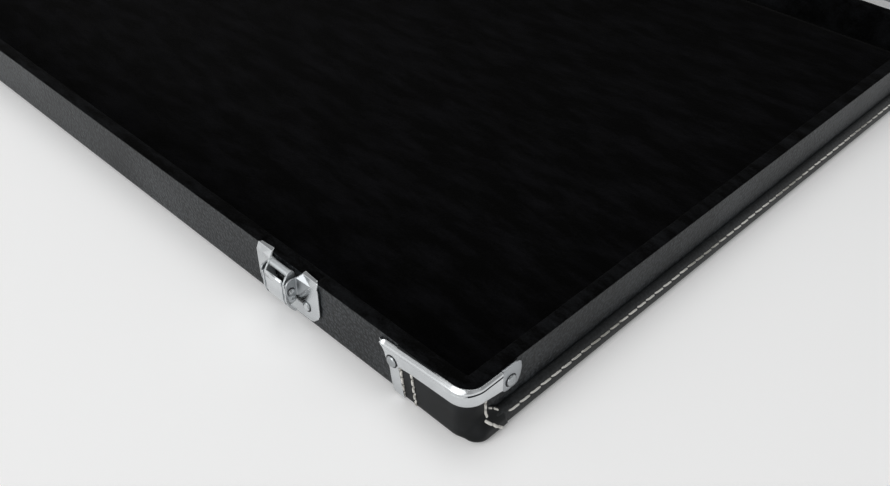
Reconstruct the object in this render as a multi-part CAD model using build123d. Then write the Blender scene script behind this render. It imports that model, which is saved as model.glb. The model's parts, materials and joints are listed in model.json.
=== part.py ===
from build123d import *
import os

# Guitar pedal case, in millimetres: a shallow tray and a deeper hinged lid, shown open.
# Origin: middle of the tray's flat underside. +X right, +Y towards the hinges, +Z up.
# The lid is built shut, rim downwards, and then turned back about its hinges.

# ---- the case -----------------------------------------------------------------------
CASE_L = 600.0          # outside length, over the vinyl
CASE_D = 450.0          # outside depth, over the vinyl
TRAY_H = 31.7           # underside to the top of the plush rim
LID_H = 65.5            # lid's plush rim to its outside top
RIM_T = 1.2             # plush over a wall's edge
SEAL_GAP = 0.6          # between the two plush rims when the lid is shut
LID_OPEN = 100.0        # degrees the lid stands open at rest, on its hinge stops
CORNER_R = 8.0          # upright corners
EDGE_R = 3.0            # rounded edge round the underside and the lid's top
VINYL_T = 0.7
PLY_T = 4.9             # wall plywood
PANEL_T = 4.0           # bottom and top panel plywood
PLUSH_T = 1.4           # lining on the walls
TRAY_PAD_T = 3.0        # plush over thin foam on the tray's floor
LID_PAD_T = 12.0        # foam pad inside the lid's top

# ---- leather caps, binding strips and chrome corners -----------------------------------
LEATHER_T = 0.8
CAP_FRONT = 41.0        # reach of a cap along the front or back wall
CAP_SIDE = 12.0         # reach of a cap along an end wall
CAP_LOW = 0.6           # a cap stops this far above the underside
STRIP_T = 4.5           # binding strip along each end wall's outer edge
STRIP_H = 10.5
STRIP_TUCK = 1.6        # how far the strip tucks under the shell
STRIP_START = 8.5       # strip's rounded end, from the case's corner
STRIP_TOP_R = 3.9
STRIP_LOW_R = 2.4
CHROME_T = 1.0          # end tabs and leg of a chrome corner, over the leather
CHROME_RISE = 1.7       # raised middle of a chrome corner, over the leather
CHROME_LIP = 0.5        # how far it stands above the vinyl's edge
RIVET_R = 2.9
RIVET_H = 1.3

# ---- latches ------------------------------------------------------------------------
LATCH_X = 183.0         # latches stand this far each side of the middle
PLATE_T = 1.4
EAR_IN, EAR_OUT = 8.8, 9.8
FLANGE_IN, FLANGE_OUT = 7.6, 8.6
ARM_IN, ARM_OUT = 6.4, 7.4
FACE_HALF = 6.2         # half width of the lever's face between the hasp's arms
TONGUE_HALF = 5.8       # half width of the lid's hooked tongue
LEVER_TOP = -3.9        # lever's top edge; the roll clears it as the lever swings
HEM = 1.3               # folded hem along the lever's top edge
HEM_RISE = 0.25
FLANGE_BACK = 2.4       # how far the plate's top flange reaches back over the rim
PIVOT = (6.5, -7.8)     # lever pivot: out from the wall, up from the vinyl's edge
HASP_PIVOT = (5.0, -14.0)
ROLL = (4.0, -0.85)
ROLL_R = 1.9
PIVOT_R = 1.2
HASP_PIN_R = 0.9
ARM_FOOT_R = 3.7        # hasp arm's rounded lower end
RUNNING_FIT = 0.06      # radial clearance of a pin in the part that turns on it

# ---- hinges -------------------------------------------------------------------------
HINGE_XS = (-200.0, 0.0, 200.0)
HINGE_OUT = 3.5         # hinge axis behind the back wall's face
KNUCKLE_R = 2.8
HINGE_PIN_R = 1.1
LEAF_T = 1.2
LEAF_W = 44.0
LEAF_H = 22.0
KNUCKLES = 5
KNUCKLE_GAP = 0.3

# ---- handle -------------------------------------------------------------------------
HANDLE_UP = 44.0        # pivots above the lid's rim
HANDLE_OUT = 9.2        # pivots in front of the lid's wall
HANDLE_DROP = 28.0      # from the pivots to the grip's middle line
GRIP_HALF = 50.0
GRIP_R = 7.8
GRIP_END_R = 5.4
LOOP_IN, LOOP_OUT = 53.0, 57.0
LUG_T = 1.4
LUG_CLEAR = 0.4
LOOP_R = 4.2
HANDLE_PIN_R = 1.8
CORE_R = 2.4

# ---- derived places -----------------------------------------------------------------
VINYL_TOP = TRAY_H - RIM_T
FRONT_Y = -CASE_D / 2
BACK_Y = CASE_D / 2
END_X = CASE_L / 2
PART_Z = TRAY_H + SEAL_GAP / 2
LID_RIM_Z = TRAY_H + SEAL_GAP
LINING_IN = VINYL_T + PLY_T          # a wall's inner wood face, in from the outside
CLEAR_IN = LINING_IN + PLUSH_T       # the lining's inner face
HINGE_Y = BACK_Y + HINGE_OUT
HINGE_AXIS = Axis((0, HINGE_Y, PART_Z), (1, 0, 0))
HANDLE_Z = LID_RIM_Z + HANDLE_UP


# ---- helpers ------------------------------------------------------------------------
def block(grow, z0, z1, low_edge=0.0):
    """The case's outline grown outwards by grow, from z0 to z1, its lower edge rounded."""
    outline = RectangleRounded(CASE_L + 2 * grow, CASE_D + 2 * grow, CORNER_R + grow)
    body = Pos(0, 0, z0) * extrude(outline, z1 - z0)
    if low_edge:
        body = fillet(body.edges().group_by(Axis.Z)[0], low_edge)
    return body


def pocket(inset, z0, z1, corner):
    """A straight-sided filling of the case, inset from its outline."""
    outline = RectangleRounded(CASE_L - 2 * inset, CASE_D - 2 * inset, corner)
    return Pos(0, 0, z0) * extrude(outline, z1 - z0)


def slab(x0, x1, y0, y1, z0, z1):
    """A box between two corners."""
    middle = Pos((x0 + x1) / 2, (y0 + y1) / 2, (z0 + z1) / 2)
    return middle * Box(x1 - x0, y1 - y0, z1 - z0)


def group(*shapes):
    """Every solid of the shapes, side by side in one compound."""
    return Compound(children=[solid for shape in shapes for solid in shape.solids()])


def flipped(shape):
    """From the tray to the same place on the shut lid, mirrored in the parting plane."""
    return mirror(shape, about=Plane.XY.offset(PART_Z))


def turned_over(shape):
    """Between a lid lying rim upwards on z = 0 and the shut lid's place."""
    return mirror(shape, about=Plane.XY.offset((LID_RIM_Z + LID_H) / 2))


def opened(shape):
    """From the shut lid to where the lid stands open."""
    return shape.rotate(HINGE_AXIS, -LID_OPEN)


def corner_copies(shape):
    """A front right corner piece at each corner, as (name, piece)."""
    front_left = mirror(shape, about=Plane.YZ)
    yield "front_right", shape
    yield "front_left", front_left
    yield "back_right", mirror(shape, about=Plane.XZ)
    yield "back_left", mirror(front_left, about=Plane.XZ)


def front_plane(x, z):
    """A plane on the front wall's face: across, up, and out from the wall."""
    return Plane(origin=(x, FRONT_Y, z), x_dir=(1, 0, 0), z_dir=(0, -1, 0))


def across(profile, x0, x1, z=VINYL_TOP):
    """An (out, up) profile on the front wall, made solid from x0 to x1."""
    side = Plane(origin=(x1, FRONT_Y, z), x_dir=(0, -1, 0), z_dir=(-1, 0, 0))
    return side * extrude(profile, x1 - x0)


def both_sides(profile, near, far, z=VINYL_TOP):
    """The same profile as two plates, at near to far each side of the middle."""
    return across(profile, near, far, z) + across(profile, -far, -near, z)


def outline_of(*points):
    """A flat face with straight sides."""
    return make_face(Polyline(*points, close=True))


def disc_at(point, radius):
    """A flat round face at a point."""
    return Pos(*point) * Circle(radius)


def rivet(head_r, head_h, shank_r, shank_l):
    """A domed rivet: the head stands on z = 0, the shank goes down."""
    head = extrude(Circle(head_r), head_h)
    head = fillet(head.edges().group_by(Axis.Z)[-1], head_h * 0.85)
    return head + Pos(0, 0, -shank_l) * extrude(Circle(shank_r), shank_l)


# ---- shells: the same build for the tray and the lid, rim upwards --------------------
def vinyl_shell(height):
    """The whole vinyl covering, up to the edge of the plush rim."""
    outer = block(0, 0, height - RIM_T, low_edge=EDGE_R)
    return outer - block(-VINYL_T, VINYL_T, height, low_edge=EDGE_R - VINYL_T)


def side_covering(height):
    return vinyl_shell(height) - block(1, -1, VINYL_T)


def base_covering(height):
    return vinyl_shell(height) & block(1, -1, VINYL_T)


def plywood_walls(height):
    """The four walls by name; the front and back ones run the full length."""
    ring = block(-VINYL_T, VINYL_T, height - RIM_T, low_edge=EDGE_R - VINYL_T)
    ring = ring - pocket(LINING_IN, 0, height, corner=0.5)
    inner_y = BACK_Y - LINING_IN
    back = ring & slab(-END_X, END_X, inner_y, BACK_Y, 0, height)
    right = ring & slab(0, END_X, -inner_y, inner_y, 0, height)
    yield "wall_front", mirror(back, about=Plane.XZ)
    yield "wall_back", back
    yield "wall_right", right
    yield "wall_left", mirror(right, about=Plane.YZ)


def panel():
    """The plywood of the tray's bottom or the lid's top, set inside the walls."""
    return pocket(LINING_IN, VINYL_T, VINYL_T + PANEL_T, corner=0.5)


def pad(thickness):
    """The padding on the panel."""
    low = VINYL_T + PANEL_T
    return pocket(LINING_IN, low, low + thickness, corner=0.5)


def plush_lining(height, pad_t):
    """Lining of the walls, carried over their edges as a soft rim."""
    low = VINYL_T + PANEL_T + pad_t
    body = block(0, low, height) - pocket(CLEAR_IN, low, height, corner=2.0)
    body = fillet(body.edges().group_by(Axis.Z)[-1], RIM_T * 0.6)
    wood = block(1, low, height - RIM_T) - pocket(LINING_IN, low, height, corner=0.5)
    return body - wood


# ---- leather, binding and chrome of the front right corner ---------------------------
def strip_bar(grow, start):
    """The binding strip's outer shape, filled in towards the end wall."""
    run = CASE_D - 2 * start
    width = 2 * (STRIP_T + grow) + 12
    plan = Pos(END_X + STRIP_T + grow - width / 2, 0, 0) * RectangleRounded(width, run, STRIP_T)
    bar = slab(END_X - width, END_X + STRIP_T + grow, -CASE_D, CASE_D, 0, STRIP_H + grow)
    bar = fillet(bar.edges().filter_by(Axis.Y).sort_by(Axis.X)[-2:].sort_by(Axis.Z)[-1], STRIP_TOP_R)
    bar = fillet(bar.edges().filter_by(Axis.Y).sort_by(Axis.X)[-2:].sort_by(Axis.Z)[0], STRIP_LOW_R)
    bar = bar & extrude(plan, STRIP_H + grow)
    return bar - slab(0, END_X - STRIP_TUCK, -CASE_D, CASE_D, -1, CASE_D)


def binding_strip():
    """Padded strip along the right end wall, round on top and at its ends."""
    return strip_bar(0, STRIP_START) - block(0, 0, TRAY_H, low_edge=EDGE_R)


def leather_cap(height):
    """Leather wrapped round the front right corner and over the strip's end."""
    skin = block(LEATHER_T, -LEATHER_T, height - RIM_T, low_edge=EDGE_R + LEATHER_T)
    boot = strip_bar(LEATHER_T, STRIP_START - LEATHER_T)
    skin = skin + boot
    skin = skin - block(0, 0, height, low_edge=EDGE_R)
    skin = skin - strip_bar(0, STRIP_START)
    front = FRONT_Y - 5
    side = FRONT_Y + CAP_SIDE
    cut = outline_of(
        (front, CAP_LOW),
        (side + 7, CAP_LOW),
        (side + 7.5, STRIP_H * 0.4),
        (side + 4.5, STRIP_H),
        (side, STRIP_H + 4.5),
        (side, height),
        (front, height),
    )
    reach = Plane.YZ.offset(END_X - CAP_FRONT) * extrude(cut, CAP_FRONT + 10)
    return skin & reach


def front_prism(profile):
    """An (across, up) outline from the corner's top edge, pushed through the front wall."""
    return front_plane(END_X, VINYL_TOP) * Pos(0, 0, -CORNER_R) * extrude(profile, CORNER_R + 5)


def side_prism(profile):
    """A (back, up) outline from the corner's top edge, pushed through the end wall."""
    side = Plane(origin=(END_X - CORNER_R, FRONT_Y, VINYL_TOP), x_dir=(0, 1, 0), z_dir=(1, 0, 0))
    return side * extrude(profile, CORNER_R + 5)


def chrome_corner(height, cap):
    """Pressed corner guard at the rim: a raised middle, two riveted tabs and a leg down the front."""
    lift = Pos(0, 0, height - TRAY_H)
    shell = block(LEATHER_T + CHROME_RISE, 0, height) - block(0, -1, height)
    low_r = EDGE_R + LEATHER_T + CHROME_T
    thin = block(LEATHER_T + CHROME_T, -LEATHER_T - CHROME_T, height, low_edge=low_r)
    thin = thin - block(0, 0, height, low_edge=EDGE_R)
    middle_front = outline_of(
        (5, CHROME_LIP), (5, -7.7), (-6, -7.8), (-17, -8.6), (-24, -8.2), (-28, -7.8),
        (-31, -10.4), (-36, -10.8), (-38, -9.5), (-38, CHROME_LIP),
    )
    middle_side = outline_of((-5, CHROME_LIP), (-5, -7.7), (9, -8.4), (18.5, -10), (18.5, CHROME_LIP))
    wrap = slab(-CORNER_R, 5, -5, CORNER_R, -40, 40)
    wrap = lift * Pos(END_X, FRONT_Y, VINYL_TOP) * wrap
    front_arm = shell & lift * front_prism(middle_front)
    front_arm = front_arm & slab(0, END_X - CORNER_R, -CASE_D, 0, 0, height)
    side_arm = shell & lift * side_prism(middle_side)
    side_arm = side_arm & slab(0, CASE_L, FRONT_Y + CORNER_R, 0, 0, height)
    turn = shell & wrap & lift * slab(0, CASE_L, -CASE_D, 0, VINYL_TOP - 7.8, VINYL_TOP + CHROME_LIP)
    tab_edge = ThreePointArc((-50.4, -5.0), (-48.2, -8.6), (-47.6, -13.0))
    tab_front = make_face(
        Polyline((-50.4, -5.0), (-49.6, -1.6), (-47.5, CHROME_LIP), (-35, CHROME_LIP), (-35, -10.8))
        + Polyline((-35, -10.8), (-37.6, -12.0), (-39.2, -15.0), (-36.4, -28.4), (-35.6, -31.5))
        + Polyline((-35.6, -31.5), (-41.6, -31.5), (-44.2, -24.0), (-45.4, -15.6), (-47.6, -13.0))
        + tab_edge
    )
    tab_side = outline_of(
        (17, -1.6), (30.4, -1.6), (30.8, -6.0), (29.6, -13.0), (22.4, -13.2), (20, -10.6), (17, -9.6),
    )
    tab_side = fillet(tab_side.vertices().sort_by(Axis.X)[2:], 1.2)
    tabs = thin & lift * front_prism(tab_front)
    tabs = tabs + (thin & lift * side_prism(tab_side))
    tabs = tabs & block(10, CAP_LOW, height)
    return front_arm + turn + side_arm + tabs - cap


def corner_rivets(height):
    """The rivets of the front right chrome corner: front tab and side tab."""
    lift = Pos(0, 0, height - TRAY_H)
    proud = LEATHER_T + CHROME_T
    one = rivet(RIVET_R, RIVET_H, 1.6, proud + VINYL_T + PLY_T - 0.6)
    front = front_plane(END_X - 43.0, VINYL_TOP - 10.0) * Pos(0, 0, proud) * one
    side = Plane(origin=(END_X + proud, FRONT_Y + 24.3, VINYL_TOP - 8.0), z_dir=(1, 0, 0)) * one
    return lift * front, lift * side


# ---- latch, built at the middle of the front wall ------------------------------------
def top_flanges(grow):
    """The plate's two top flanges, bent back over the tray's rim, or their room grown a little."""
    low, high = FRONT_Y - 0.6, FRONT_Y + FLANGE_BACK + grow
    near, far = EAR_IN - grow, 21.0 + grow
    half = outline_of((near, low), (far, low), (far, FRONT_Y + 0.4), (far - 4.5, high), (near, high))
    flange = Pos(0, 0, VINYL_TOP) * extrude(half, RIM_T)
    return group(flange, mirror(flange, about=Plane.YZ))


def latch_plate():
    """Pressed base plate with two ears, two gussets and a window for the tongue."""
    half = outline_of(
        (0, -26), (15.5, -26), (17.5, -25), (22.5, -19), (22.5, -1.2), (21.0, RIM_T),
        (EAR_IN, RIM_T), (EAR_IN, -14), (0, -14),
    )
    half = fillet(half.vertices().sort_by(Axis.X)[-3:], 0.5)
    plate = front_plane(0, VINYL_TOP) * extrude(half, PLATE_T)
    plate = plate + mirror(plate, about=Plane.YZ)
    plate = chamfer(plate.edges().group_by(Axis.Y)[0], 0.45) + top_flanges(0)
    ear = outline_of(
        (0.2, -0.4), (5.8, -1.4), (8.0, -2.8), (8.7, -4.6), (8.7, -8.4), (7.4, -10.6), (0.2, -13.6),
    )
    ears = both_sides(ear, EAR_IN, EAR_OUT)
    plate = plate + ears
    gusset = [
        (EAR_OUT, -0.6, PLATE_T), (EAR_OUT, -12.5, PLATE_T), (17.4, -3.4, PLATE_T), (EAR_OUT, -1.0, 3.6),
    ]
    sides = ((0, 1, 2), (0, 1, 3), (1, 2, 3), (0, 2, 3))
    for sign in (-1, 1):
        corners = [Vector(sign * u, FRONT_Y - v + 0.2, VINYL_TOP + w) for u, w, v in gusset]
        faces = [Face(Wire.make_polygon([corners[i] for i in side])) for side in sides]
        plate = plate + Solid(Shell(faces))
    holes = both_sides(disc_at(PIVOT, PIVOT_R), EAR_IN, EAR_OUT)
    rivet_holes = front_plane(0, VINYL_TOP) * extrude(Pos(13.9, -17.2) * Circle(1.6), PLATE_T)
    return plate - holes - rivet_holes - mirror(rivet_holes, about=Plane.YZ)


def lever_pins():
    """Two headed stubs that hold the lever in the ears."""
    stubs = both_sides(disc_at(PIVOT, PIVOT_R), FLANGE_IN, EAR_OUT)
    heads = both_sides(disc_at(PIVOT, 1.7), EAR_OUT, EAR_OUT + 0.7)
    return stubs + heads


def lever():
    """Curved lever with side flanges and a slot each side for the hasp's arms."""
    outer = Line((9.0, LEVER_TOP), (9.0, -12.0)) + ThreePointArc((9.0, -12.0), (7.9, -17.4), (4.4, -22.4))
    inner = ThreePointArc((3.5, -21.5), (6.75, -17.0), (7.8, -12.0)) + Line((7.8, -12.0), (7.8, LEVER_TOP))
    ends = Line((4.4, -22.4), (3.5, -21.5)) + Line((7.8, LEVER_TOP), (9.0, LEVER_TOP))
    strip = make_face(outer + ends + inner)
    hem_low, hem_out = LEVER_TOP - HEM, 9.0 + HEM_RISE
    hem = outline_of((8.8, hem_low), (hem_out, hem_low), (hem_out, LEVER_TOP), (8.8, LEVER_TOP))
    strip = strip + hem
    face = across(strip, -FACE_HALF, FACE_HALF)
    low_half = across(outline_of((0, -17.6), (12, -17.6), (12, -30), (0, -30)), -FLANGE_OUT, FLANGE_OUT)
    tail = across(strip, -FLANGE_OUT, FLANGE_OUT) & low_half
    edge_strips = both_sides(strip, FLANGE_IN, FLANGE_OUT)
    web = outline_of(
        (8.4, LEVER_TOP), (5.2, -5.0), (3.7, -7.6), (3.4, -15.2),
        (4.2, -16.2), (5.6, -16.2), (7.7, -14.2), (8.2, -12.0),
    )
    flanges = both_sides(web, FLANGE_IN, FLANGE_OUT)
    body = face + tail + edge_strips + flanges
    body = body - both_sides(disc_at(PIVOT, PIVOT_R + RUNNING_FIT), FLANGE_IN, FLANGE_OUT)
    return body - both_sides(disc_at(HASP_PIVOT, HASP_PIN_R), FLANGE_IN, FLANGE_OUT)


def hasp():
    """Two arms and the roll that draws the lid's tongue down.

    The arms lie flush in the lever's slots. Below, they are round about their pin, so that
    they turn clear of the slots' ends as the lever lifts.
    """
    arm = outline_of(
        (3.0, -14.0), (7.2, -11.5), (8.8, -9.7), (8.8, -4.3),
        (6.6, -0.9), (1.8, -0.8), (1.8, -2.2), (3.0, -6.0),
    )
    arm = arm + disc_at(HASP_PIVOT, ARM_FOOT_R) + disc_at(ROLL, 2.2)
    arm = arm & outline_of((2.4, -30), (9.0, -30), (9.0, 9), (1.0, 9), (1.0, -6.0), (2.4, -9.0))
    arms = both_sides(arm, ARM_IN, ARM_OUT)
    roll = across(disc_at(ROLL, ROLL_R), -ARM_IN, ARM_IN)
    return arms + roll - across(disc_at(HASP_PIVOT, HASP_PIN_R + RUNNING_FIT), -ARM_OUT, ARM_OUT)


def hasp_pin():
    """The pin that carries the hasp across the lever."""
    return across(disc_at(HASP_PIVOT, HASP_PIN_R), -FLANGE_OUT, FLANGE_OUT)


def latch_rivets():
    one = rivet(2.25, 0.9, 1.6, PLATE_T + VINYL_T + PLY_T - 0.6)
    for side in (-1, 1):
        yield front_plane(side * 13.9, VINYL_TOP - 17.2) * Pos(0, 0, PLATE_T) * one


def catch():
    """Plate on the lid with the hooked tongue that the roll pulls on."""
    base = outline_of((-14, 3.4), (14, 3.4), (14, 14), (10, 17.5), (-10, 17.5), (-14, 14))
    base = fillet(base.vertices(), 1.0)
    plate = front_plane(0, VINYL_TOP) * extrude(base, PLATE_T)
    tongue = outline_of(
        (0.6, 5.0), (1.95, 4.6), (1.95, -2.95), (6.05, -2.95), (6.05, -1.5),
        (7.05, -1.5), (7.05, -3.9), (1.0, -3.9), (1.0, 3.4),
    )
    hole = front_plane(0, VINYL_TOP) * extrude(Pos(9.2, 10.4) * Circle(1.4), PLATE_T)
    plate = plate + across(tongue, -TONGUE_HALF, TONGUE_HALF)
    return plate - hole - mirror(hole, about=Plane.YZ)


def catch_rivets():
    one = rivet(2.2, 0.9, 1.4, PLATE_T + VINYL_T + PLY_T - 0.6)
    for side in (-1, 1):
        yield front_plane(side * 9.2, VINYL_TOP + 10.4) * Pos(0, 0, PLATE_T) * one


# ---- hinges, built at x = 0 with the lid shut ----------------------------------------
def knuckle_spans(first):
    """The x spans of every second knuckle, starting with the first or second."""
    pitch = LEAF_W / KNUCKLES
    for k in range(first, KNUCKLES, 2):
        yield -LEAF_W / 2 + k * pitch + KNUCKLE_GAP / 2, -LEAF_W / 2 + (k + 1) * pitch - KNUCKLE_GAP / 2


def hinge_disc(radius, x0, x1):
    """A round bar about the hinge axis."""
    return Plane(origin=(x0, HINGE_Y, PART_Z), z_dir=(1, 0, 0)) * extrude(Circle(radius), x1 - x0)


def hinge_leaf(first, hole_r):
    """A leaf on the tray's back wall with its knuckles."""
    stop = PART_Z - KNUCKLE_R - 0.5
    leaf = slab(-LEAF_W / 2, LEAF_W / 2, BACK_Y, BACK_Y + LEAF_T, PART_Z - LEAF_H, stop)
    leaf = fillet(leaf.edges().filter_by(Axis.Y).group_by(Axis.Z)[0], 4.0)
    for x0, x1 in knuckle_spans(first):
        leaf = leaf + slab(x0, x1, BACK_Y, BACK_Y + LEAF_T, stop - 1, PART_Z - 0.6)
        leaf = leaf + hinge_disc(KNUCKLE_R, x0, x1)
    leaf = leaf - hinge_disc(hole_r, -LEAF_W, LEAF_W)
    return leaf - group(*hinge_rivets(head=False))


def hinge_rivets(head=True):
    """Four small rivets, or only their shanks, for one leaf."""
    one = rivet(2.0, 0.8, 1.2, LEAF_T + VINYL_T + PLY_T - 0.6)
    if not head:
        one = Pos(0, 0, -LEAF_T - 1) * extrude(Circle(1.2), LEAF_T + 2)
    for x in (-15.0, -5.0, 5.0, 15.0):
        z = PART_Z - LEAF_H + (6.0 if abs(x) > 10 else 12.0)
        place = Plane(origin=(x, BACK_Y + LEAF_T, z), z_dir=(0, 1, 0))
        yield place * one


# ---- handle, on the shut lid's front wall --------------------------------------------
def handle_grip():
    """Padded leather grip, fuller in the middle, bored for its core."""
    top = ThreePointArc((-GRIP_HALF, GRIP_END_R), (0, GRIP_R), (GRIP_HALF, GRIP_END_R))
    ends = (GRIP_HALF, GRIP_END_R), (GRIP_HALF, CORE_R), (-GRIP_HALF, CORE_R), (-GRIP_HALF, GRIP_END_R)
    rest = Polyline(*ends)
    section = make_face(top + rest)
    grip = revolve(section, Axis.X)
    grip = fillet(grip.edges().filter_by(GeomType.CIRCLE).filter_by(lambda e: e.radius > CORE_R + 1), 2.0)
    return Pos(0, FRONT_Y - HANDLE_OUT, HANDLE_Z - HANDLE_DROP) * grip


def handle_core():
    """Steel rod through the grip and both loops."""
    return across(disc_at((HANDLE_OUT, -HANDLE_DROP), CORE_R), -LOOP_OUT, LOOP_OUT, HANDLE_Z)


def handle_loops():
    """The two end pieces, from the grip's rod up to the pivots."""
    bar = disc_at((HANDLE_OUT, 0), LOOP_R) + disc_at((HANDLE_OUT, -HANDLE_DROP), LOOP_R + 0.8)
    waist = outline_of(
        (HANDLE_OUT - 3.4, -2), (HANDLE_OUT + 3.4, -2),
        (HANDLE_OUT + 4, -HANDLE_DROP), (HANDLE_OUT - 4, -HANDLE_DROP),
    )
    bar = bar + waist - disc_at((HANDLE_OUT, 0), HANDLE_PIN_R + RUNNING_FIT)
    bar = bar - disc_at((HANDLE_OUT, -HANDLE_DROP), CORE_R)
    return both_sides(bar, LOOP_IN, LOOP_OUT, HANDLE_Z)


def handle_bracket():
    """Right-hand bracket: a wall plate with two lugs round the loop."""
    near = LOOP_IN - LUG_CLEAR - LUG_T
    far = LOOP_OUT + LUG_CLEAR
    middle = (LOOP_IN + LOOP_OUT) / 2
    sheet = Pos(middle, 0) * RectangleRounded(26, 26, 4)
    plate = front_plane(0, HANDLE_Z) * extrude(sheet, PLATE_T)
    lug = outline_of((0.5, -8), (0.5, 8), (HANDLE_OUT, LOOP_R), (HANDLE_OUT, -LOOP_R))
    lug = lug + disc_at((HANDLE_OUT, 0), LOOP_R)
    lug = lug - disc_at((HANDLE_OUT, 0), HANDLE_PIN_R)
    plate = plate + across(lug, near, near + LUG_T, HANDLE_Z) + across(lug, far, far + LUG_T, HANDLE_Z)
    for point in bracket_holes():
        plate = plate - front_plane(*point) * extrude(Circle(1.4), PLATE_T)
    return plate


def bracket_holes():
    """Where a bracket's four rivets go."""
    middle = (LOOP_IN + LOOP_OUT) / 2
    for x in (middle - 9.2, middle + 9.2):
        for z in (HANDLE_Z - 9.2, HANDLE_Z + 9.2):
            yield x, z


def bracket_rivets():
    one = rivet(2.2, 0.9, 1.4, PLATE_T + VINYL_T + PLY_T - 0.6)
    for point in bracket_holes():
        yield front_plane(*point) * Pos(0, 0, PLATE_T) * one


def handle_pins():
    """The pin through the right-hand bracket and its loop."""
    reach = LUG_CLEAR + LUG_T
    pin = across(disc_at((HANDLE_OUT, 0), HANDLE_PIN_R), LOOP_IN - reach, LOOP_OUT + reach, HANDLE_Z)
    head = disc_at((HANDLE_OUT, 0), HANDLE_PIN_R + 0.9)
    return pin + across(head, LOOP_OUT + reach, LOOP_OUT + reach + 0.8, HANDLE_Z)


# ---- the whole case ------------------------------------------------------------------
def shell_parts(prefix, height, pad_t, extra_rivets):
    """Every fixed piece of a shell by name, rim upwards, and its corner rivets."""
    cap = leather_cap(height)
    chrome = chrome_corner(height, cap)
    strip = binding_strip()
    corner = [piece for one in corner_rivets(height) for _, piece in corner_copies(one)]
    bores = group(*corner, *extra_rivets)
    parts = {f"{prefix}_{name}": wall - bores for name, wall in plywood_walls(height)}
    parts[f"{prefix}_side_covering"] = side_covering(height) - bores
    parts[f"{prefix}_base_covering"] = base_covering(height)
    parts[f"{prefix}_panel"] = panel()
    parts[f"{prefix}_pad"] = pad(pad_t)
    parts[f"{prefix}_lining"] = plush_lining(height, pad_t)
    strip_pair = {"right": strip, "left": mirror(strip, about=Plane.YZ)}
    caps = [piece - bores for _, piece in corner_copies(cap)]
    parts[f"{prefix}_leather_caps"] = group(*caps)
    chrome_set = {name: piece - bores for name, piece in corner_copies(chrome)}
    parts[f"{prefix}_corner_rivets"] = group(*corner)
    return parts, strip_pair, chrome_set


def all_parts():
    """Every node of the case by name, where it stands at rest."""
    latch_pair = [Pos(side * LATCH_X, 0, 0) * piece for side in (-1, 1) for piece in latch_rivets()]
    tray_hinge = [Pos(x, 0, 0) * piece for x in HINGE_XS for piece in hinge_rivets()]
    parts, strips, chromes = shell_parts("tray", TRAY_H, TRAY_PAD_T, latch_pair + tray_hinge)
    parts.update({f"tray_strip_{name}": piece for name, piece in strips.items()})
    parts.update({f"tray_chrome_{name}": piece for name, piece in chromes.items()})
    for x in (-LATCH_X, LATCH_X):
        parts["tray_lining"] = parts["tray_lining"] - Pos(x, 0, 0) * top_flanges(0.2)
    parts["latch_rivets"] = group(*latch_pair)
    parts["hinge_rivets_tray"] = group(*tray_hinge)

    catch_pair = [Pos(side * LATCH_X, 0, 0) * piece for side in (-1, 1) for piece in catch_rivets()]
    lid_hinge = [flipped(piece) for piece in tray_hinge]
    bracket_pair = list(bracket_rivets())
    bracket_pair += [mirror(piece, about=Plane.YZ) for piece in bracket_pair]
    lid_rivets = [turned_over(piece) for piece in catch_pair + lid_hinge + bracket_pair]
    lid, strips, chromes = shell_parts("lid", LID_H, LID_PAD_T, lid_rivets)
    lid["lid_strips"] = group(*strips.values())
    lid["lid_chrome_corners"] = group(*chromes.values())
    lid = {name: turned_over(piece) for name, piece in lid.items()}
    lid["catch_rivets"] = group(*catch_pair)
    lid["hinge_rivets_lid"] = group(*lid_hinge)
    lid["handle_bracket_rivets"] = group(*bracket_pair)
    bracket = handle_bracket()
    lid["handle_bracket_right"] = bracket
    lid["handle_bracket_left"] = mirror(bracket, about=Plane.YZ)
    pin = handle_pins()
    lid["handle_pins"] = group(pin, mirror(pin, about=Plane.YZ))
    lid["handle_grip"] = handle_grip()
    lid["handle_core"] = handle_core()
    lid["handle_loops"] = group(handle_loops())

    tray_leaf = hinge_leaf(0, HINGE_PIN_R)
    lid_leaf = flipped(hinge_leaf(1, HINGE_PIN_R + RUNNING_FIT))
    hinge_pin = hinge_disc(HINGE_PIN_R, -LEAF_W / 2, LEAF_W / 2)
    for name, x in zip(("left", "middle", "right"), HINGE_XS):
        parts[f"hinge_tray_leaf_{name}"] = Pos(x, 0, 0) * tray_leaf
        lid[f"hinge_lid_leaf_{name}"] = Pos(x, 0, 0) * lid_leaf
    parts["hinge_pins"] = group(*[Pos(x, 0, 0) * hinge_pin for x in HINGE_XS])

    for name, x in (("left", -LATCH_X), ("right", LATCH_X)):
        parts[f"latch_plate_{name}"] = Pos(x, 0, 0) * latch_plate()
        parts[f"lever_{name}"] = Pos(x, 0, 0) * lever()
        parts[f"hasp_{name}"] = Pos(x, 0, 0) * hasp()
        parts[f"hasp_pin_{name}"] = Pos(x, 0, 0) * hasp_pin()
        lid[f"catch_{name}"] = Pos(x, 0, 0) * catch()
    parts["lever_pins"] = group(*[Pos(x, 0, 0) * lever_pins() for x in (-LATCH_X, LATCH_X)])
    parts.update({name: opened(piece) for name, piece in lid.items()})
    return parts


def write_all():
    os.makedirs("parts", exist_ok=True)
    for name, piece in all_parts().items():
        solids = piece.solids()
        whole = solids[0] if len(solids) == 1 else Compound(children=list(solids))
        export_step(whole, f"parts/{name}.step")


write_all()
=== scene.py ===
import json
import logging
import math
from contextlib import contextmanager
from dataclasses import dataclass, field
from enum import Enum
from typing import Iterator, Sequence

import bmesh
import bpy
from mathutils import Matrix, Vector, noise


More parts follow.
